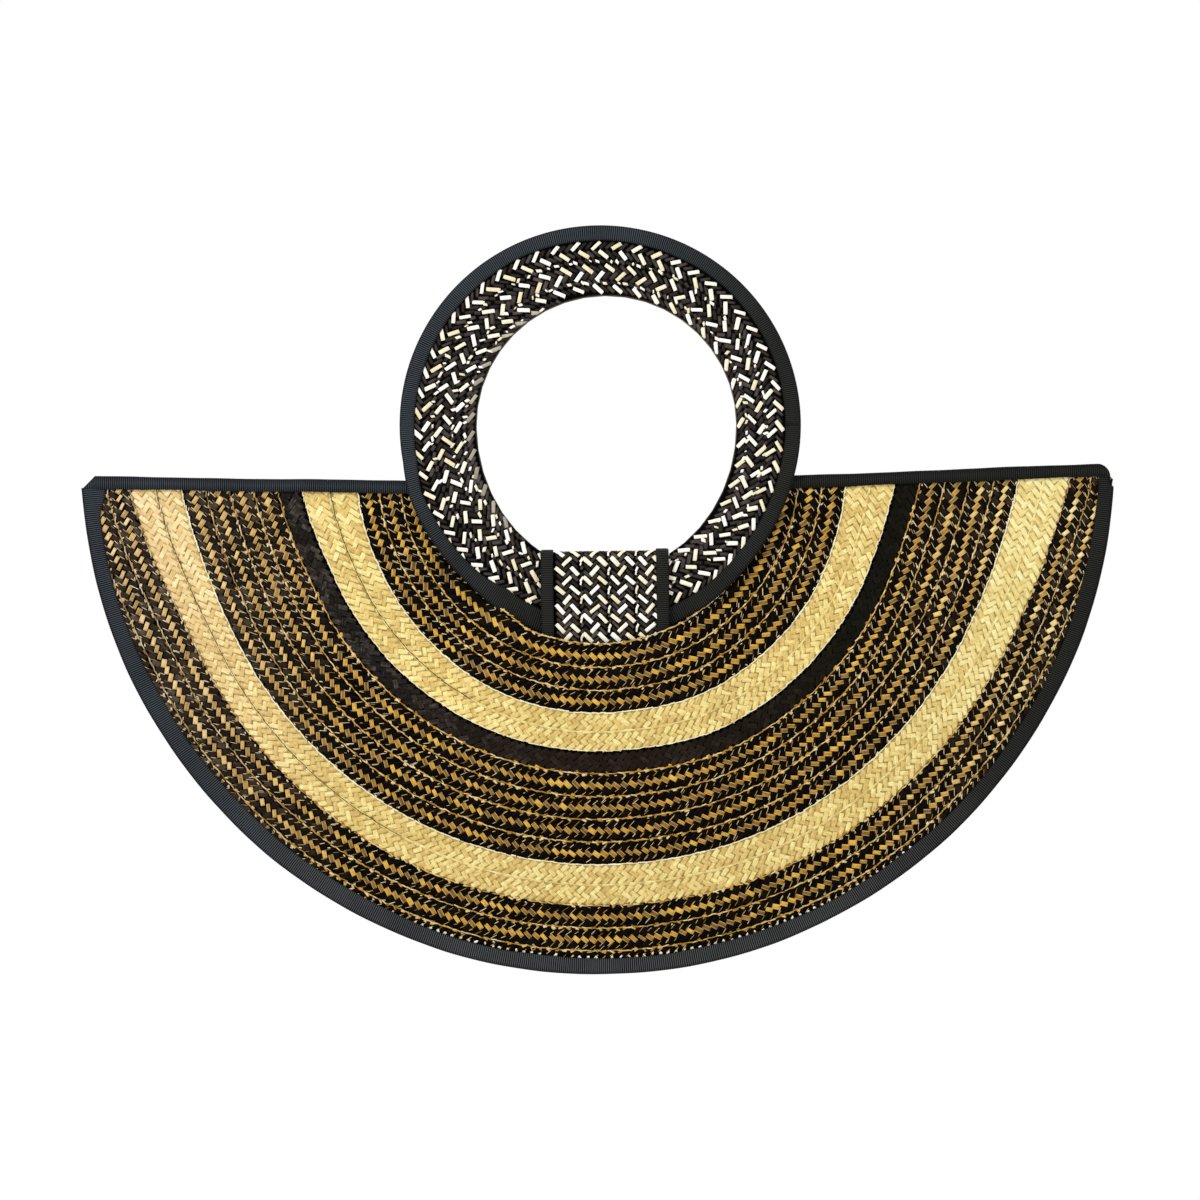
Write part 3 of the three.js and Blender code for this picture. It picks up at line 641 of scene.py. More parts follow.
class PanelRow(Weave):
    """One row of braid on a panel. Its places are a distance along it and a share of its width."""

    def __init__(self, side, index):
        super().__init__(1000 * (side + 2) + index, FLOOR)
        self.side, self.index = side, index
        self.kind = ROWS[index][0]
        start = end_angle((SEAMS[index] + SEAMS[index + 1]) / 2) - 0.02
        self.turns = np.linspace(start, pi - start, 721)
        self.lengths = lengths_along(*on_arc(self.radius(self.turns, 0.5), self.turns))
        self.length = self.lengths[-1]

    def turn_at(self, s):
        return np.interp(s, self.lengths, self.turns)

    def cells(self, pitch):
        """How many strands follow each other at a pitch, and how far along the row each lies."""
        count = int(round(self.length / pitch))
        return count, (np.arange(count) + 0.5) * self.length / count

    def radius(self, turn, share):
        angle = np.minimum(turn, pi - turn)
        inner = seam_radius(self.index, angle) + stray(self.index, turn)
        outer = seam_radius(self.index + 1, angle) + stray(self.index + 1, turn)
        if self.index == 0:
            inner = inner - edge_lift(turn)
        return inner + (outer - inner) * share

    def place(self, s, share, ds, dr, beyond):
        turn = self.turn_at(s)
        radius = self.radius(turn, share)
        turn = turn + ds / radius
        x, z = on_arc(np.minimum(radius + dr, panel_radius(turn) - 0.2), turn)
        return panel_point(self.side, x, under_corner(x, z), beyond)

    def seen(self, s, share):
        """Nothing is laid past the panel's outer edge."""
        turn = self.turn_at(s)
        return self.radius(turn, share) < panel_radius(turn) - 1.5

    def ground(self):
        """The closed band under the floats, sunk at both seams.

        Its darker colour is partly painted shade in the gaps between the floats.
        """
        s = np.linspace(0, self.length, max(24, int(self.length / 6)))
        shares = np.array([0.02, 0.02, 0.1, 0.3, 0.5, 0.7, 0.9, 0.98, 0.98, 0.5])
        heights = np.array([0.1, 0.55, 0.72, 0.75, 0.75, 0.75, 0.72, 0.55, 0.1, 0.1])
        beyond = heights + LINING + LAYER_GAP - 0.05
        points = self.place(s[:, None], shares, 0.0, 0.0, beyond)
        self.add(points, (0.5, 0.5, 0.5), LOOKS[self.kind]["ground"], closed=(False, True))

    def floats(self):
        """A line of floats that slant one way between two lines that slant the other way."""
        look = LOOKS[self.kind]
        cells, s = self.cells(PITCH)
        rng = self.rng

        def vary(size):
            return rng.normal(0, size, cells)

        def slivers(share, phase, angle, length, width, lift, material, keep, sizes):
            """Thin strands in the gaps: painted shade, painted highlights or gold edges, by their material;
            sizes: how much place, share, angle, length and width vary.
            """
            some = rng.random(cells) < keep
            by = [vary(size)[some] if size else 0.0 for size in sizes]
            self.lay(s[some] + PITCH * phase + by[0], share + by[1], angle + by[2], length + by[3],
                     width + np.abs(by[4]), lift, rng.random(cells)[some], material)

        turn = self.turn_at(s)
        stretch = look["stretch"]
        width = (self.radius(turn, 1.0) - self.radius(turn, 0.0)) / MIXED_WIDTH
        lift = CREST * look["lift"]
        across_width = np.clip(look["width"] + vary(look["spread"]), 1.4, 2.5)
        self.lay(s + vary(0.12), MIDDLE_LINE + vary(0.01), FLOAT_ANGLE + vary(0.05),
                 stretch * width + vary(0.25), across_width, lift + vary(0.04), rng.random(cells),
                 look["across"])
        along_width = BLACK_WIDTH if self.kind == MIXED else look["width"]
        for share, phase in zip(OUTER_LINES, (0.45, 0.55)):
            self.lay(s + PITCH * phase + vary(0.1), share + vary(0.006), -FLOAT_ANGLE - 0.03 + vary(0.04),
                     (stretch + 0.1) * width + vary(0.15), along_width + vary(0.08),
                     lift * 0.85 + vary(0.03), rng.random(cells), look["along"])
        gaps = list(zip(OUTER_LINES, (0.95, 0.05)))
        if self.kind == CREAM:
            # Dark strips between the cream floats: painted shade in their gaps
            low = CREST * 0.75
            for share, phase in gaps:
                slivers(share, phase, -STEEP_ANGLE, 2.2, 0.2, low, SLIT_PAINTED_SHADE, 0.85, (0.1, 0.03, 0, 0.6, 0.06))
            slivers(MIDDLE_LINE, 0.5, STEEP_ANGLE, 2.6, 0.2, low, SLIT_PAINTED_SHADE, 0.85, (0.1, 0.02, 0, 0.6, 0.06))
        if self.kind == MIXED:
            # At the sides of the bag: more painted highlights, fewer gold edges
            sideways = 1 - smoothstep(0.75, 0.97, np.sin(turn))
            sizes = (0.16, 0.04, 0.08, 0.8, 0.1)
            for share, phase in gaps:
                for width, look, keep in (
                    (0.24, SLIVER_HIGHLIGHT, 0.22 + 0.3 * sideways), (0.2, EDGE_GOLD, 0.75 - 0.1 * sideways),
                ):
                    slivers(share, phase, -STEEP_ANGLE, 3.0, width, CREST, look, keep, sizes)

    def chain(self, material, share, pitch, length, width, lift, tilt, keep=1.0, where=None):
        """Short overlapping lengths of strand one after another along the row."""
        cells, s = self.cells(pitch)
        some = self.rng.random(cells) < keep
        if where is not None:
            some &= where(self.turn_at(s))
        count = int(some.sum())

        def vary(size):
            return self.rng.normal(0, size, count)

        slant = np.where(np.arange(cells) % 2 == 0, tilt, -0.6 * tilt)[some] + vary(0.5 * tilt)
        self.lay(s[some] + vary(0.06 * pitch), share + vary(0.012), slant, length * (1 + vary(0.12)),
                 np.clip(width * (1 + vary(0.2)), 0.12, 3), lift * CREST, self.rng.random(count), material,
                 sunk=0.1)

    def seam(self):
        """The edge strand along the row's inner seam, and the ends of gold floats that turn over it."""
        chain = self.chain
        before = ROWS[self.index - 1][0] if self.index else None
        if self.kind == CREAM and before != CREAM:
            chain(CREAM_EDGE, 0.012, 3.0, 3.7, 0.62, 0.9, 0.06)
        elif self.kind == CREAM:
            chain(PALE, 0.0, 2.6, 3.6, 1.25, 0.5, 0.04)
            chain(DARK_LINE, 0.0, 2.4, 4.0, 0.34, 1.5, 0.01, where=between(-9, 62))
            chain(CREAM_EDGE, 0.0, 3.2, 3.4, 0.2, 1.0, 0.04, keep=0.5, where=between(58, 128))
        elif self.kind == DARK:
            chain(CREAM_EDGE, -0.035, 2.8, 3.4, 0.5, 1.0, 0.08)
            chain(DARK_GROUND_AND_SHADE, 0.03, 3.6, 4.3, 0.6, 0.9, 0.05)
        else:
            share = -0.03 if self.index == 0 else 0.01
            chain(EDGE_GOLD, share, 2.5, 3.1, 0.62, 1.05, 0.14, keep=0.8 if before == CREAM else 1.0)
            chain(EDGE_GOLD, share + 0.045, PITCH, 2.5, 1.0, 0.95, 0.55, keep=0.5)
            chain(GOLD, share - 0.045, PITCH, 2.2, 1.0, 0.85, 0.5, keep=0.3 if self.index else 0.0)
            chain(EDGE_GOLD, 0.1, PITCH, 1.3, 0.6, 0.7, 0.6, keep=0.3)
            # Pale flecks at the sides: painted highlights
            chain(SLIVER_HIGHLIGHT, 0.11, PITCH, 1.5, 0.55, 0.75, 0.6, keep=0.35, where=at_sides)
            if self.index == len(ROWS) - 1:
                chain(WHITE, LAST_TIPS, PITCH, 2.1, 1.25, 1.0, 0.6, keep=0.95, where=between(58, 128))
                chain(EDGE_GOLD, LAST_TIPS - 0.12, PITCH, 1.7, 0.8, 1.0, 0.6, keep=0.6,
                      where=between(28, 60))
            else:
                # Pale flecks at the sides: painted highlights
                chain(SLIVER_HIGHLIGHT, 0.93, PITCH, 1.5, 0.55, 0.75, 0.6, keep=0.4, where=at_sides)


def at_sides(turn):
    return np.sin(turn) < 0.9


def between(low, high):
    return lambda turn: (turn > radians(low)) & (turn < radians(high))


def panel_rows(side, label):
    for index, (kind, _) in enumerate(ROWS):
        row = PanelRow(side, index)
        row.ground()
        row.floats()
        row.seam()
        name = f"{label}_row_{index + 1:02d}_{kind}"
        piece = row.build(f"{label}_braid_row_{index + 1:02d}", flip=side == FRONT)
        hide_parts(name)
        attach(piece, "bag")


LINING_INSET = 0.3  # from the panel's edges
LINING_TURN = 0.004  # and, as a turn, from its top edge


def panel_lining(side, label):
    turns = np.linspace(0, 1, 97)
    grids = []
    for beyond in (0.0, LINING):
        lines = []
        for share in np.linspace(0, 1, 25):
            start = end_angle(CUTOUT_SIDE_RADIUS + (PANEL_SIDE_RADIUS - CUTOUT_SIDE_RADIUS) * share)
            start = start + LINING_TURN
            turn = start + (pi - 2 * start) * turns
            angle = np.minimum(turn, pi - turn)
            inner = cutout_radius(angle) + LINING_INSET - edge_lift(turn)
            x, z = on_arc(inner + (panel_radius(angle) - LINING_INSET - inner) * share, turn)
            lines.append(panel_point(side, x, under_corner(x, z), beyond))
        grids.append(np.stack(lines))
    outline = np.concatenate([grids[0], grids[1][::-1]])
    patches = Patchwork()
    patches.add(outline, xyz(outline[..., 0], outline[..., 2], 0.0), LINING_CLOTH, closed=(True, False))
    piece = patches.build(f"{label}_lining_cloth", flip=side == BACK)
    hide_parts(f"{label}_lining")
    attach(piece, "bag")


# How much painted shade each place of a folded ribbon gets, darkest at its lips and where it bends to the
# fold, from the lip of one half to the fold, and all round it
HALF_PAINTED_SHADE = [1.0, 0.5, 0.0, 0.0, 0.0, 0.7, 0.1]
FOLDED_PAINTED_SHADE = HALF_PAINTED_SHADE + HALF_PAINTED_SHADE[::-1] + [1.0, 1.0]


def ribbon_values(length, painted_edge_shade):
    """A ribbon's strand attribute: its length, the place in its outline, how much painted shade it gets
    there.
    """
    return xyz(length[:, None], np.linspace(0, 1, len(painted_edge_shade)), painted_edge_shade)


def ribbon(name, columns, length, painted_edge_shade, flip=False, ring=False):
    """A ribbon made of lines of points along it, one for each place in its outline, with closed ends."""
    points = np.stack(columns, 1)
    values = ribbon_values(length, painted_edge_shade)
    patches = Patchwork()
    patches.add(points, values, RIBBED, closed=(ring, True))
    for end in () if ring else (0, -1):
        outline = points[end]
        middle = np.broadcast_to(outline.mean(0), outline.shape)
        patches.add(np.stack([outline, middle]), values[end][None], RIBBED, closed=(False, True))
    return patches.build(name, flip)


UNDER_TOP_RIBBON = 1.2  # how far the curved ribbon's ends go up under the top ribbons
RIGHT_CUT = 1.9  # how much its right end is cut back at the fold
WIDENING = 1.3  # how much further it reaches in at the lower left
LEFT_WIDENING = 2.6  # and how many times that at its left end


def curved_ribbon():
    """The ribbon that joins both panels, folded over their edges along the whole curve."""
    start = end_angle(PANEL_SIDE_RADIUS, TOP_BINDING_WIDTH - UNDER_TOP_RIBBON)
    turn = np.r_[np.linspace(start, pi - start - 0.04, 341), pi - start - np.linspace(0.04, 0, 33)[1:]]
    length = (turn - start) * PANEL_RADIUS
    from_right = length[-1] - length
    outer = panel_radius(turn) + LAYER_GAP
    inner = outer + RIBBON - CURVED_BINDING_WIDTH
    outer = outer - RIGHT_CUT * (1 - smoothstep(4.4, 5.8, from_right))
    wider = rise(20, 30, turn) * (1 - rise(58, 75, turn))
    wider = wider + LEFT_WIDENING * (1 - smoothstep(2, 16, length))
    lip = inner + waver(length, 5, 90, 0.18) - WIDENING * wider
    rim = outer + RIBBON + waver(length, 6, 120, 0.12) - 0.1
    # radius, and distance out from the braid's face, from the lip of one half to the fold
    half = [(lip, 0.12), (lip + 0.1, 0.62), (lip + 1.0, 0.78), (lip * 0.5 + rim * 0.5, 0.74),
            (rim - 1.7, 0.72), (rim - 0.3, 0.5), (rim, -0.6)]
    profile = [(radius, FRONT, out) for radius, out in half]
    profile += [(radius, BACK, out) for radius, out in half[::-1]]
    profile += [(outer - 0.3, BACK, 0.02), (outer - 0.3, FRONT, 0.02)]
    columns = [panel_point(side, *on_arc(radius, turn), PANEL_STACK + out) for radius, side, out in profile]
    piece = ribbon("curved_ribbon", columns, length, FOLDED_PAINTED_SHADE)
    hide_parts("curved_binding")
    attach(piece, "bag")


END_HEIGHT = 0.7  # of the top ribbon at the very corner


def top_ribbon(side, hand, label):
    """The ribbon folded over the top edge of one panel, rounded or cut off at the corner."""
    inner = CUTOUT_SIDE_RADIUS + TOP_BINDING_INNER_INSET
    outer = LEFT_END if hand < 0 else RIGHT_END
    round_corner = outer - CORNER * (1 - np.linspace(0, 1, 25)[1:] ** 0.6)
    x = hand * np.r_[np.linspace(inner, outer - CORNER, 101), round_corner]
    length = np.abs(x) - inner
    top = top_edge(x)
    low = top - TOP_BINDING_WIDTH + STANDOFF + waver(length, 17 + hand, 70, 0.15)
    ridge = top + STANDOFF - corner_drop(x) + waver(length, 11 + hand, 110, 0.15)
    ridge = np.maximum(ridge, low + END_HEIGHT)
    middle = low * 0.5 + ridge * 0.5
    under = np.minimum(ridge - 0.5, top + LAYER_GAP)
    stack = PANEL_STACK
    # height, distance out from the lining's inner face, and how much painted shade the ribbon gets there,
    # near its edges
    profile = [
        (low, -0.1, 1.0), (low + 0.1, -0.6, 0.4), (middle, -0.7, 0.0), (ridge - 0.4, -0.6, 0.7),
        (ridge, 0.1, 0.1), (ridge + 0.02, stack / 2, 0.0), (ridge, stack - 0.1, 0.1),
        (ridge - 0.4, stack + 0.74, 0.7), (middle, stack + 0.84, 0.0), (low + 0.1, stack + 0.8, 0.4),
        (low, stack + 0.15, 1.0), (under, stack + 0.1, 1.0), (under, -0.1, 1.0),
    ]
    columns = []
    for z, beyond, _ in profile:
        y = side * (half_gap(x, np.minimum(z, top)) + beyond)
        columns.append(xyz(x, y, np.minimum(z, ridge) + ARC_CENTRE_Z))
    word = "left" if hand < 0 else "right"
    painted_edge_shade = [edge for _, _, edge in profile]
    piece = ribbon(f"{label}_top_ribbon_{word}", columns, length, painted_edge_shade, flip=hand * side < 0)
    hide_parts(f"{label}_top_binding_{word}")
    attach(piece, "bag")


def to_frame(side, local):
    """From the ring's own plane, where y is negative away from the bag's middle, to the bag's axes."""
    x, y, z = local[..., 0] + RING_SHIFT, local[..., 1], local[..., 2] + RING_RISE - HINGE_Z
    if side == BACK:
        y = -y
    turn = side * LEAN
    return xyz(
        x,
        y * math.cos(turn) - z * math.sin(turn) + side * RING_PLANE,
        y * math.sin(turn) + z * math.cos(turn) + HINGE_Z + ARC_CENTRE_Z,
    )


def rim_point(turn, inset):
    """The ring's rim: a half circle above, and below it a half that reaches down to the cutout edge."""
    below = np.minimum(np.sin(turn), 0)
    radius = RING_RADIUS + (RING_DROP - RING_RADIUS) * below ** RING_DROP_POWER - inset
    return radius * np.cos(turn) - RING_SHIFT * below ** 2, radius * np.sin(turn)


UNDER_RIBBON = 2.0  # how far the ring's braid goes in under its ribbon


def rim_distance(turn):
    """From the ring's centre to where its braid ends under the ribbon."""
    return np.hypot(*rim_point(turn, RING_BINDING_WIDTH - UNDER_RIBBON))


def hole_distance(turn):
    """From the ring's centre to the edge of its hole, which the tab presses down to its seat."""
    height = np.where(np.sin(turn) >= 0, HOLE_RADIUS, HOLE_DROP)
    a = np.cos(turn) ** 2 / HOLE_RADIUS ** 2 + np.sin(turn) ** 2 / height ** 2
    b = HOLE_OFFSET * np.cos(turn) / HOLE_RADIUS ** 2
    c = HOLE_OFFSET ** 2 / HOLE_RADIUS ** 2 - 1
    distance = (b + np.sqrt(b ** 2 - a * c)) / a
    seat = SEAT_DROP / np.maximum(-np.sin(turn), 0.2)
    seated = np.abs(seat * np.cos(turn) - TAB_SHIFT) < TAB_WIDTH / 2 + RING_CLEARANCE
    return np.where(seated & (np.sin(turn) < 0), np.maximum(distance, seat), distance)


# Lines of floats on a ring: distance from its centre at these turns, slant, how many light floats, the
# turn of one of them, and what they are made of
LINE_TURNS = [0, 90, 180, 225, 305, 330, 360]
RING_LINES = [
    ([86.5, 87.0, 88.2, 89.9, 91.6, 87.7, 86.5], -42, 55, 90.6, WHITE),
    ([82.4, 82.8, 84.1, 85.5, 87.5, 83.8, 82.4], 42, 55, 88.2, WHITE),
    ([77.3, 75.9, 78.1, 78.8, 81.7, 79.2, 77.3], 37, 45, 85.8, WHITE),
    ([73.2, 72.2, 74.2, 75.9, 77.8, 75.1, 73.2], -48, 45, 89.4, WHITE),
    ([67.6, 65.9, 68.6, 69.6, 73.0, 71.3, 67.6], 34, 44, 90.2, WHITE),
    # the innermost line: white straw in painted shade
    ([61.8, 61.6, 62.4, 65.3, 66.7, 65.0, 61.8], 36, 44, 86.0, SHADED_WHITE),
]
# Small ends of cream strands between those lines: distance, how many, and the turn of one of them
TWIST_LINES = [
    ([79.7, 79.4, 81.2, 81.9, 84.6, 81.4, 79.7], 50, 90.0),
    ([70.5, 69.1, 71.5, 72.5, 75.4, 73.0, 70.5], 50, 87.0),
    ([62.0, 62.0, 65.4, 67.4, 62.0, 62.0, 62.0], 48, 86.0),
]
STRANDS_PER_CREAM = 3
RING_GROUND = RING_BRAID_HALF - 0.55  # height of the ground under the floats
MEAN_RADIUS = 77
FLOAT_MARGIN, FILL_MARGIN, TWIST_MARGIN = 0.6, 0.8, 1.2  # from the edge of the hole
FILL_COUNT = 150
TIP_RADIUS, TIP_TURNS = 91.8, np.radians(np.arange(205, 250, 6.06))
CREAM_WIDTH, CREAM_LENGTH, CREAM_LIFT = 2.4, 6.3, 0.8
DARK_LIFT = 0.42
TWIST_LIFT = 0.75


def line_radius(radii, turn):
    return np.interp(np.degrees(turn) % 360, LINE_TURNS, radii)


def off_hole(turn, radius, margin):
    """The places that lie on the ring, clear of its hole."""
    clear = radius > hole_distance(turn) + margin
    return turn[clear], radius[clear]


class RingFace(Weave):
    """One face of a ring's braid. Its places are a turn about the ring's centre and a distance from it."""

    def __init__(self, side, outward):
        super().__init__(300 + 10 * side + outward, RING_GROUND)
        self.side, self.outward = side, outward
        self.turns = np.linspace(0, 2 * pi, 361)[:, None]
        self.hole = hole_distance(self.turns)

    def point(self, turn, distance, height):
        y = -height if self.outward else height
        return to_frame(self.side, xyz(distance * np.cos(turn), y, distance * np.sin(turn)))

    def place(self, turn, radius, ds, dr, height):
        distance = radius + dr
        x = distance * np.cos(turn) - ds * np.sin(turn)
        z = distance * np.sin(turn) + ds * np.cos(turn)
        bearing = np.arctan2(z, x)
        kept = np.clip(np.hypot(x, z), hole_distance(bearing) + 0.15, rim_distance(bearing))
        return self.point(bearing, kept, height)

    def ground(self):
        """The flat dark ground under the floats, partly painted shade in the gaps between them."""
        edge = self.hole + 0.1
        radius = edge + (rim_distance(self.turns) - edge) * np.linspace(0.0, 1.0, 9)
        self.add(self.place(self.turns, radius, 0.0, 0.0, RING_GROUND), (0.4, 0.5, 0.5), DARK_GROUND_AND_SHADE)

    def hole_edge(self):
        """The braid turns over the core at the edge of the hole."""
        depths = np.array([RING_GROUND + 0.25, RING_GROUND - 0.2, 0.7, 0.0])
        points = self.point(self.turns, self.hole + np.array([0.5, 0.05, 0.0, 0.0]), depths)
        self.add(points, xyz(0.3, self.turns * 40 % 1.0, 0.5), CHARCOAL)

    def dark_fill(self, radii):
        """Dark strands under a line of cream ends, where no float lies over the ground."""
        turn = np.arange(FILL_COUNT) * 2 * pi / FILL_COUNT
        turn, radius = off_hole(turn, line_radius(radii, turn), FILL_MARGIN)
        count = len(turn)
        angle = 0.6 + self.vary(0.2, count)
        self.lay(turn, radius, angle, 3.2, 1.9, 0.36, self.rng.random(count), CHARCOAL)

    def floats(self, radii, slant, light_count, start, light_straw):
        """One line of floats round the ring: every third one is light."""
        count = light_count * STRANDS_PER_CREAM
        turn = radians(start) + np.arange(count) * 2 * pi / count
        radius = line_radius(radii, turn) + self.vary(0.15, count)
        angle = radians(slant) if self.outward else -radians(slant)
        turn = turn if self.outward else pi - turn
        seen = radius > hole_distance(turn) + FLOAT_MARGIN
        light = np.arange(count) % STRANDS_PER_CREAM == 0
        spacing = 2 * pi * MEAN_RADIUS / count * abs(math.sin(angle))
        angle = angle + self.vary(0.07, count)
        longer, wider, tones = self.vary(0.35, count), self.vary(0.15, count), self.rng.random(count)
        for chosen, length, width, lift, material in (
            (~light, 5.1, spacing * 0.88, DARK_LIFT, CHARCOAL),
            (light, CREAM_LENGTH, CREAM_WIDTH, CREAM_LIFT, light_straw),
        ):
            pick = chosen & seen
            self.lay(turn[pick], radius[pick], angle[pick], (length + longer)[pick], (width + wider)[pick],
                     lift, tones[pick], material, shade=chosen is light)

    def twists(self, radii, count, start):
        """Small ends of cream strands where two rows of the ring's braid are sewn together."""
        for shift, length, width, keep in ((0.0, 2.9, 1.6, 0.95), (0.36, 2.0, 1.2, 0.75)):
            turn = radians(start) + (np.arange(count) + shift) * 2 * pi / count
            turn = turn + self.vary(0.008, count)
            turn = turn[self.rng.random(count) < keep]
            turn, radius = off_hole(turn, line_radius(radii, turn), TWIST_MARGIN)
            n = len(turn)
            radius = radius + self.vary(0.3, n)
            self.lay(turn, radius, 0.5 + self.vary(0.6, n), length + self.vary(0.4, n),
                     width + self.vary(0.25, n), TWIST_LIFT, self.rng.random(n), WHITE, 0.4, shade=True)

    def edge_tips(self):
        """Ends of cream floats that come out from under the ribbon at the lower left."""
        # Each cream tip lies on a larger dark patch, its painted shadow
        for length, width, lift, material in ((4.1, 2.5, SHADE_LIFT, DARK_GROUND_AND_SHADE), (3.6, 1.9, CREAM_LIFT, WHITE)):
            tones = self.rng.random(len(TIP_TURNS))
            self.lay(TIP_TURNS, TIP_RADIUS, 0.4, length, width, lift, tones, material, 0.3)


def ring_piece(side, label):
    for outward, word in ((True, "outer"), (False, "inner")):
        face = RingFace(side, outward)
        face.ground()
        for radii, _, _ in TWIST_LINES:
            face.dark_fill(radii)
        for line in RING_LINES:
            face.floats(*line)
        for line in TWIST_LINES:
            face.twists(*line)
        if outward:
            face.edge_tips()
        face.hole_edge()
        piece = face.build(f"{label}_ring_{word}_weave", flip=(side == FRONT) != outward)
        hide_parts(f"{label}_ring_{word}_braid")
        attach(piece, f"{label}_handle")


# The ring's ribbon is wider where it nears the tab: how much, at these turns
RIBBON_TURNS = [0, 180, 200, 222, 231, 236, 241, 252, 290, 300, 310, 360]
RIBBON_WIDENING = [0.4, 0.4, -0.4, 0.0, 0.5, 2.2, 4.0, 4.0, 1.9, 1.0, 0.4, 0.4]
# and stands out further where it lies on the panel at the lower left
PUSH_TURNS = [190, 200, 215, 222, 230, 240, 246]
RIBBON_PUSH = [0, 1.4, 0.5, 0, -0.7, -0.7, 0]


def ring_ribbon(side, label):
    turns = np.linspace(0, 2 * pi, 361)[:-1]
    length = turns * RING_RADIUS
    wider = np.interp(np.degrees(turns), RIBBON_TURNS, RIBBON_WIDENING)
    push = np.interp(np.degrees(turns), PUSH_TURNS, RIBBON_PUSH)
    wander = waver(length, 23, RING_RADIUS * 2 * pi / 5, 0.15)
    # inset from the rim, and distance from the ring's middle plane, from the lip of one half to the fold
    width = RING_BINDING_WIDTH
    half = [(width, RING_BRAID_HALF + 0.05), (width - 0.1, RING_BRAID_HALF + 0.55),
            (width - 1.2, RING_HALF - 0.05), (width / 2, RING_HALF), (1.2, RING_HALF - 0.02),
            (0.35, RING_HALF - 0.45), (0.0, RING_HALF - 1.5)]
    profile = [(inset, -y) for inset, y in half] + half[::-1]
    profile += [(2.0, RING_BRAID_HALF + 0.02), (2.0, -RING_BRAID_HALF - 0.02)]
    columns = []
    for inset, y in profile:
        lip = (wander - wider) * (inset > 5)
        x, z = rim_point(turns, inset - lip - push)
        columns.append(to_frame(side, xyz(x, y, z)))
    piece = ribbon(f"{label}_ring_ribbon", columns, length, FOLDED_PAINTED_SHADE, flip=side == BACK, ring=True)
    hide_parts(f"{label}_ring_binding")
    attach(piece, f"{label}_handle")


def tab_path():
    """Middle line of the tab, as (y, z) in the ring's plane, from its fold at the panel round the ring."""
    inner = LEG_OFFSET - TAB_HALF
    fold = -SEAT_DROP + RING_CLEARANCE - math.sqrt(inner ** 2 - RING_BRAID_HALF ** 2)
    under = -RING_DROP - RING_CLEARANCE + math.sqrt(inner ** 2 - RING_HALF ** 2)
    round_ring, under_ring = np.linspace(0, pi, 17), np.linspace(0, pi / 2, 9)
    points = [(-LEG_OFFSET, z) for z in np.linspace(HINGE_Z - RING_RISE, fold, 14)[:-1]]
    points += [(-LEG_OFFSET * math.cos(t), fold + LEG_OFFSET * math.sin(t)) for t in round_ring]
    points += [(LEG_OFFSET, z) for z in np.linspace(fold, under, 14)[1:-1]]
    points += [(LEG_OFFSET * math.cos(t), under - LEG_OFFSET * math.sin(t)) for t in under_ring]
    points.append((RING_CLEARANCE - LEG_OFFSET + 2 * TAB_HALF, under - LEG_OFFSET))
    return np.array(points)


TAB_PITCH = 9.18
TAB_BRAID_WIDTH = 13.3
TAB_BRAIDED_HALF = TAB_WIDTH / 2 - 4.5  # half the width that has columns
TAB_FLOAT_HALF = TAB_BRAIDED_HALF + 1.5  # and how far their floats reach
TAB_NUMBERS = np.arange(-60, 90)  # of floats, more than fit on the tab, and 0 at the one known
TAB_SEAM = -8.1  # first seam between two braids that is seen, in x
TAB_PHASE_Z = -49.9  # height of one cream float of the first column, against the arc centre
# Columns of a braid: distance from its left seam, slant, and whether it lies half a pitch lower
TAB_COLUMNS = [(2.4, -1, 0.0), (5.8, 1, 0.5), (9.6, -1, 0.0)]
TAB_TWIST = 12.9
BACK_LEG = slice(12, 26)  # points of the tab's path between its fold at the panel and the ring's hole


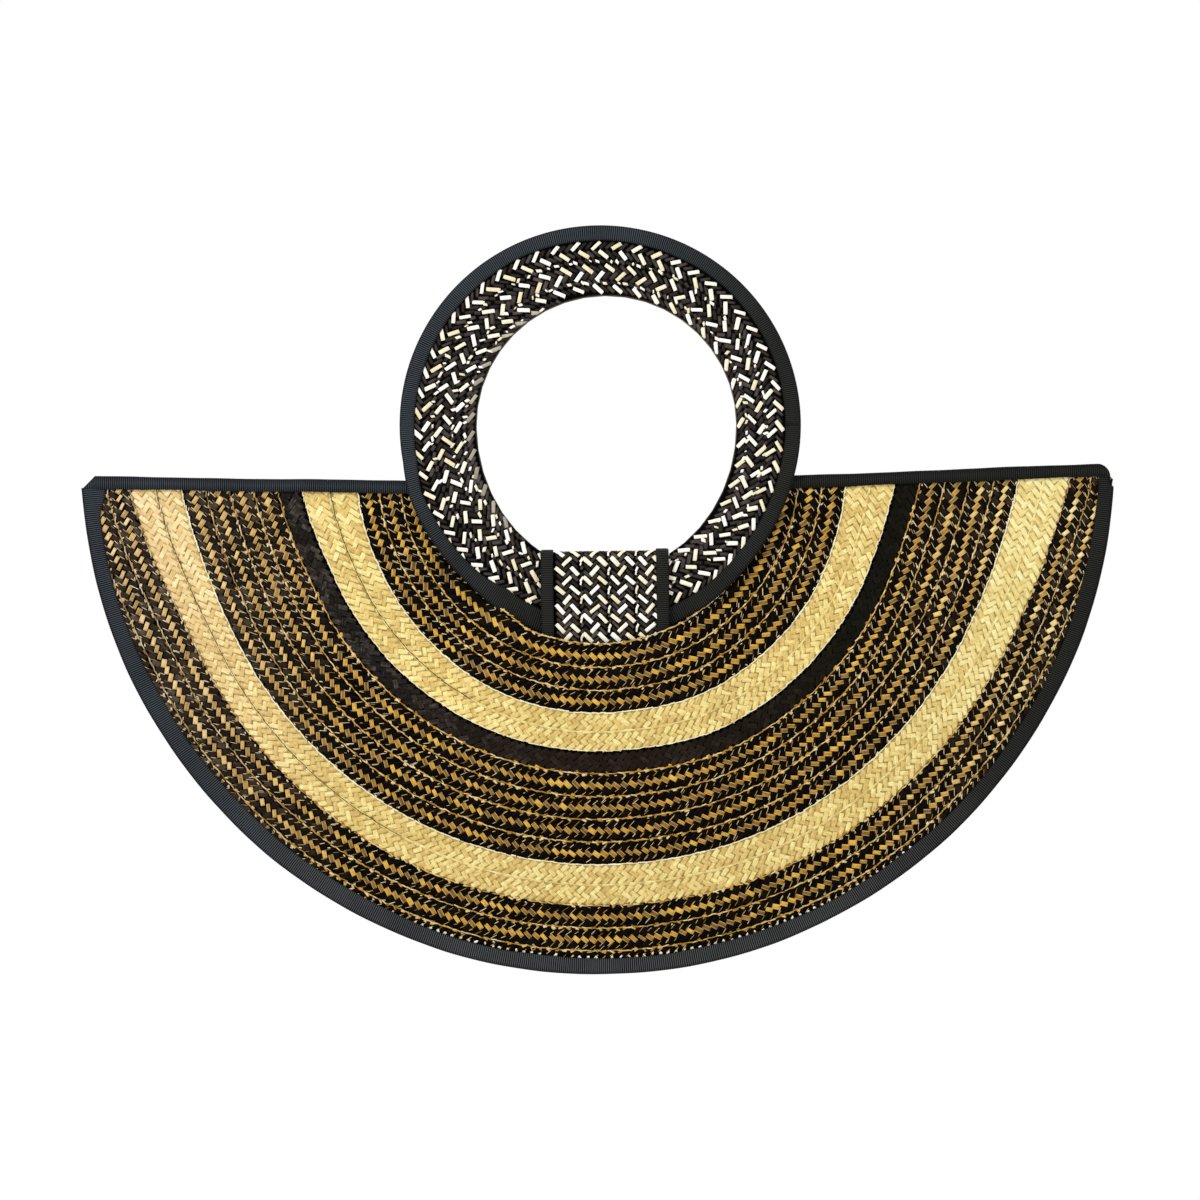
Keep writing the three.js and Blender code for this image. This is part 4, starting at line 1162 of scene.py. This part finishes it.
class TabSheet(Weave):
    """The tab from its sewn-in end to its far end. Its places are a length along it and an x."""

    def __init__(self, side):
        super().__init__(70 + side, BRAID / 2 - 0.5)
        local = tab_path()
        upper = to_frame(side, xyz(TAB_SHIFT, local[:, 0], local[:, 1]))[:, 1:]
        z = np.linspace(-CUTOUT_RADIUS - TAB_SEWN_LENGTH, HINGE_Z - 1.5, 12)
        y = side * (half_gap(TAB_CENTRE, z) - RING_CLEARANCE - TAB_HALF)
        self.path = np.concatenate([np.stack([y, z + ARC_CENTRE_Z], -1), upper])
        self.lengths = lengths_along(*self.path.T)
        self.length = self.lengths[-1]
        tangent = np.gradient(self.path, self.lengths, axis=0)
        tangent /= np.linalg.norm(tangent, axis=1, keepdims=True)
        self.normal = np.stack([side * tangent[:, 1], -side * tangent[:, 0]], -1)

    def point(self, s, x, out):
        y, z = (np.interp(s, self.lengths, way) for way in self.path.T)
        ny, nz = (np.interp(s, self.lengths, way) for way in self.normal.T)
        return xyz(x, y + ny * out, z + nz * out)

    def place(self, s, x, dx, ds, out):
        x = np.clip(x + dx, TAB_CENTRE - TAB_FLOAT_HALF, TAB_CENTRE + TAB_FLOAT_HALF)
        return self.point(s + ds, x, out)

    def on_tab(self, s):
        """Only the places that are clear of both ends of the tab."""
        return s[(s > 2) & (s < self.length - 3)]

    def column(self, s, x, slant, length, width, lift, material, skew=0.0):
        n = len(s)
        angle = pi / 2 - slant * radians(45) + self.vary(0.06, n)
        self.lay(s, x, angle, length + self.vary(0.25, n), width + self.vary(0.15, n), lift,
                 self.rng.random(n), material, skew, shade=material is WHITE)

    def floats(self):
        """Columns of floats that slant in turn, with small twists along the seams between the braids."""
        known = np.interp(TAB_PHASE_Z + ARC_CENTRE_Z, self.path[BACK_LEG, 1], self.lengths[BACK_LEG])
        step = TAB_PITCH / STRANDS_PER_CREAM
        light = TAB_NUMBERS % STRANDS_PER_CREAM == 0
        for braid in (-1, 0, 1, 2):
            left = TAB_SEAM + braid * TAB_BRAID_WIDTH
            late = 0.5 if braid < 0 else 0.0
            for offset, slant, phase in TAB_COLUMNS:
                x = left + offset
                if abs(x - TAB_CENTRE) > TAB_BRAIDED_HALF:
                    continue
                s = known + TAB_NUMBERS * step - (phase + late) * TAB_PITCH
                cream, dark = self.on_tab(s[light]), self.on_tab(s[~light])
                self.column(cream, x, slant, CREAM_LENGTH, CREAM_WIDTH + 0.05, CREAM_LIFT, WHITE)
                self.column(dark, x, slant, 5.2, 1.8, DARK_LIFT, CHARCOAL)
            x = left + TAB_TWIST
            if abs(x - TAB_CENTRE) < TAB_BRAIDED_HALF:
                s = self.on_tab(known + TAB_NUMBERS * TAB_PITCH - (0.5 + late) * TAB_PITCH)
                self.column(s + 0.6, x, 0.6, 3.0, 1.5, TWIST_LIFT, WHITE, 0.3)
                self.column(s - 1.3, x - 0.4, 0.2, 2.0, 1.2, TWIST_LIFT, WHITE, 0.3)
                for lower in (step, -step):
                    self.column(s + lower, x + 0.1, 0.6, 2.6, 1.3, 0.4, CHARCOAL)


def tab_piece(side, label):
    sheet = TabSheet(side)
    s = np.linspace(0, sheet.length, 90)
    half = TAB_WIDTH / 2 - 0.9
    deep = BRAID / 2 - 0.4
    x = TAB_CENTRE + np.array([-half, half, half, -half])
    points = sheet.point(s[:, None], x, np.array([deep, deep, -deep, -deep]))
    sheet.add(points, (0.4, 0.5, 0.5), DARK_GROUND_AND_SHADE, closed=(False, True))
    sheet.floats()
    for hand in (-1, 1):
        rim = TAB_CENTRE + hand * TAB_WIDTH / 2
        lip = rim - hand * TAB_RIBBON_WIDTH
        # x, distance out from the tab's middle, and how much painted shade the ribbon gets there, near its
        # edges
        x, out, painted_edge_shade = np.transpose([
            (lip, TAB_HALF - 0.5, 1.0), (lip, TAB_HALF - 0.08, 0.7), (lip + hand * 0.8, TAB_HALF, 0.0),
            (rim - hand * 0.9, TAB_HALF, 0.0), (rim - hand * 0.1, TAB_HALF - 0.6, 0.5),
            (rim - hand * 0.1, -TAB_HALF + 0.6, 0.5), (rim - hand * 0.9, -TAB_HALF, 0.0),
            (lip, -TAB_HALF, 0.7), (lip, -TAB_HALF + 0.5, 1.0),
        ])
        sheet.add(sheet.point(s[:, None], x, out), ribbon_values(s, painted_edge_shade), RIBBED, closed=(False, True))
    piece = sheet.build(f"{label}_tab_weave")
    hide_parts(f"{label}_tab_braid", f"{label}_tab_ribbon_left", f"{label}_tab_ribbon_right",
                f"{label}_tab_tail")
    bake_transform(piece)


for side, label in ((FRONT, "front"), (BACK, "back")):
    panel_lining(side, label)
    panel_rows(side, label)
    for hand in (-1, 1):
        top_ribbon(side, hand, label)
    ring_piece(side, label)
    ring_ribbon(side, label)
    tab_piece(side, label)
    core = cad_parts[f"{label}_ring_core"]
    core.data.materials.clear()
    core.data.materials.append(CORE_BOARD)
curved_ribbon()


# Camera: straight on from far away, turned by the bag's slight roll in the picture
SCALE = 0.4832  # millimetres for one pixel of a picture that is 1200 wide
PICTURE = 1200
CENTRE_X, CENTRE_Y = 597.7, 454.6  # pixel of the arc centre
ROLL = radians(0.73)
DISTANCE = 6000.0
SENSOR = 36.0
offset_x, offset_y = (PICTURE / 2 - CENTRE_X) * SCALE, -(PICTURE / 2 - CENTRE_Y) * SCALE
aim_x = offset_x * math.cos(-ROLL) - offset_y * math.sin(-ROLL)
aim_z = offset_x * math.sin(-ROLL) + offset_y * math.cos(-ROLL) + ARC_CENTRE_Z
camera_data = bpy.data.cameras.new("camera")
camera_data.sensor_width = SENSOR
camera_data.lens = SENSOR * DISTANCE / (PICTURE * SCALE)
camera_data.clip_end = 100.0
camera = put("camera", camera_data)
camera.location = (aim_x * MM, -DISTANCE * MM, aim_z * MM)
camera.rotation_euler = (pi / 2, ROLL, 0)
bpy.context.scene.camera = camera


def surround(light, seen):
    """A white world, as strong in its light and as it is seen behind the bag."""
    world = bpy.data.worlds.new("surround")
    bpy.context.scene.world = world
    world.use_nodes = True
    tree = world.node_tree
    lit = tree.nodes["Background"]
    behind = tree.nodes.new("ShaderNodeBackground")
    for node, strength in ((lit, light), (behind, seen)):
        node.inputs["Color"].default_value = (1, 1, 1, 1)
        node.inputs["Strength"].default_value = strength
    path = tree.nodes.new("ShaderNodeLightPath")
    mix = tree.nodes.new("ShaderNodeMixShader")
    tree.links.new(path.outputs["Is Camera Ray"], mix.inputs[0])
    tree.links.new(lit.outputs[0], mix.inputs[1])
    tree.links.new(behind.outputs[0], mix.inputs[2])
    tree.links.new(mix.outputs[0], tree.nodes["World Output"].inputs[0])


BAG_MIDDLE = Vector((0, 0, -0.15))


def area_light(name, place, power, size):
    data = bpy.data.lights.new(name, "AREA")
    data.energy = power
    data.shape = "DISK"
    data.size = size
    made = put(name, data)
    made.location = place
    made.rotation_euler = (BAG_MIDDLE - Vector(place)).to_track_quat("-Z", "Y").to_euler()


# Light: an even white surround, brighter from the upper left
surround(light=0.86, seen=1.0)
area_light("key", (-0.9, -1.3, 1.1), 16, 0.5)
area_light("back_light", (0.9, 1.5, 0.9), 14, 0.6)
bpy.context.scene.view_settings.view_transform = "Standard"
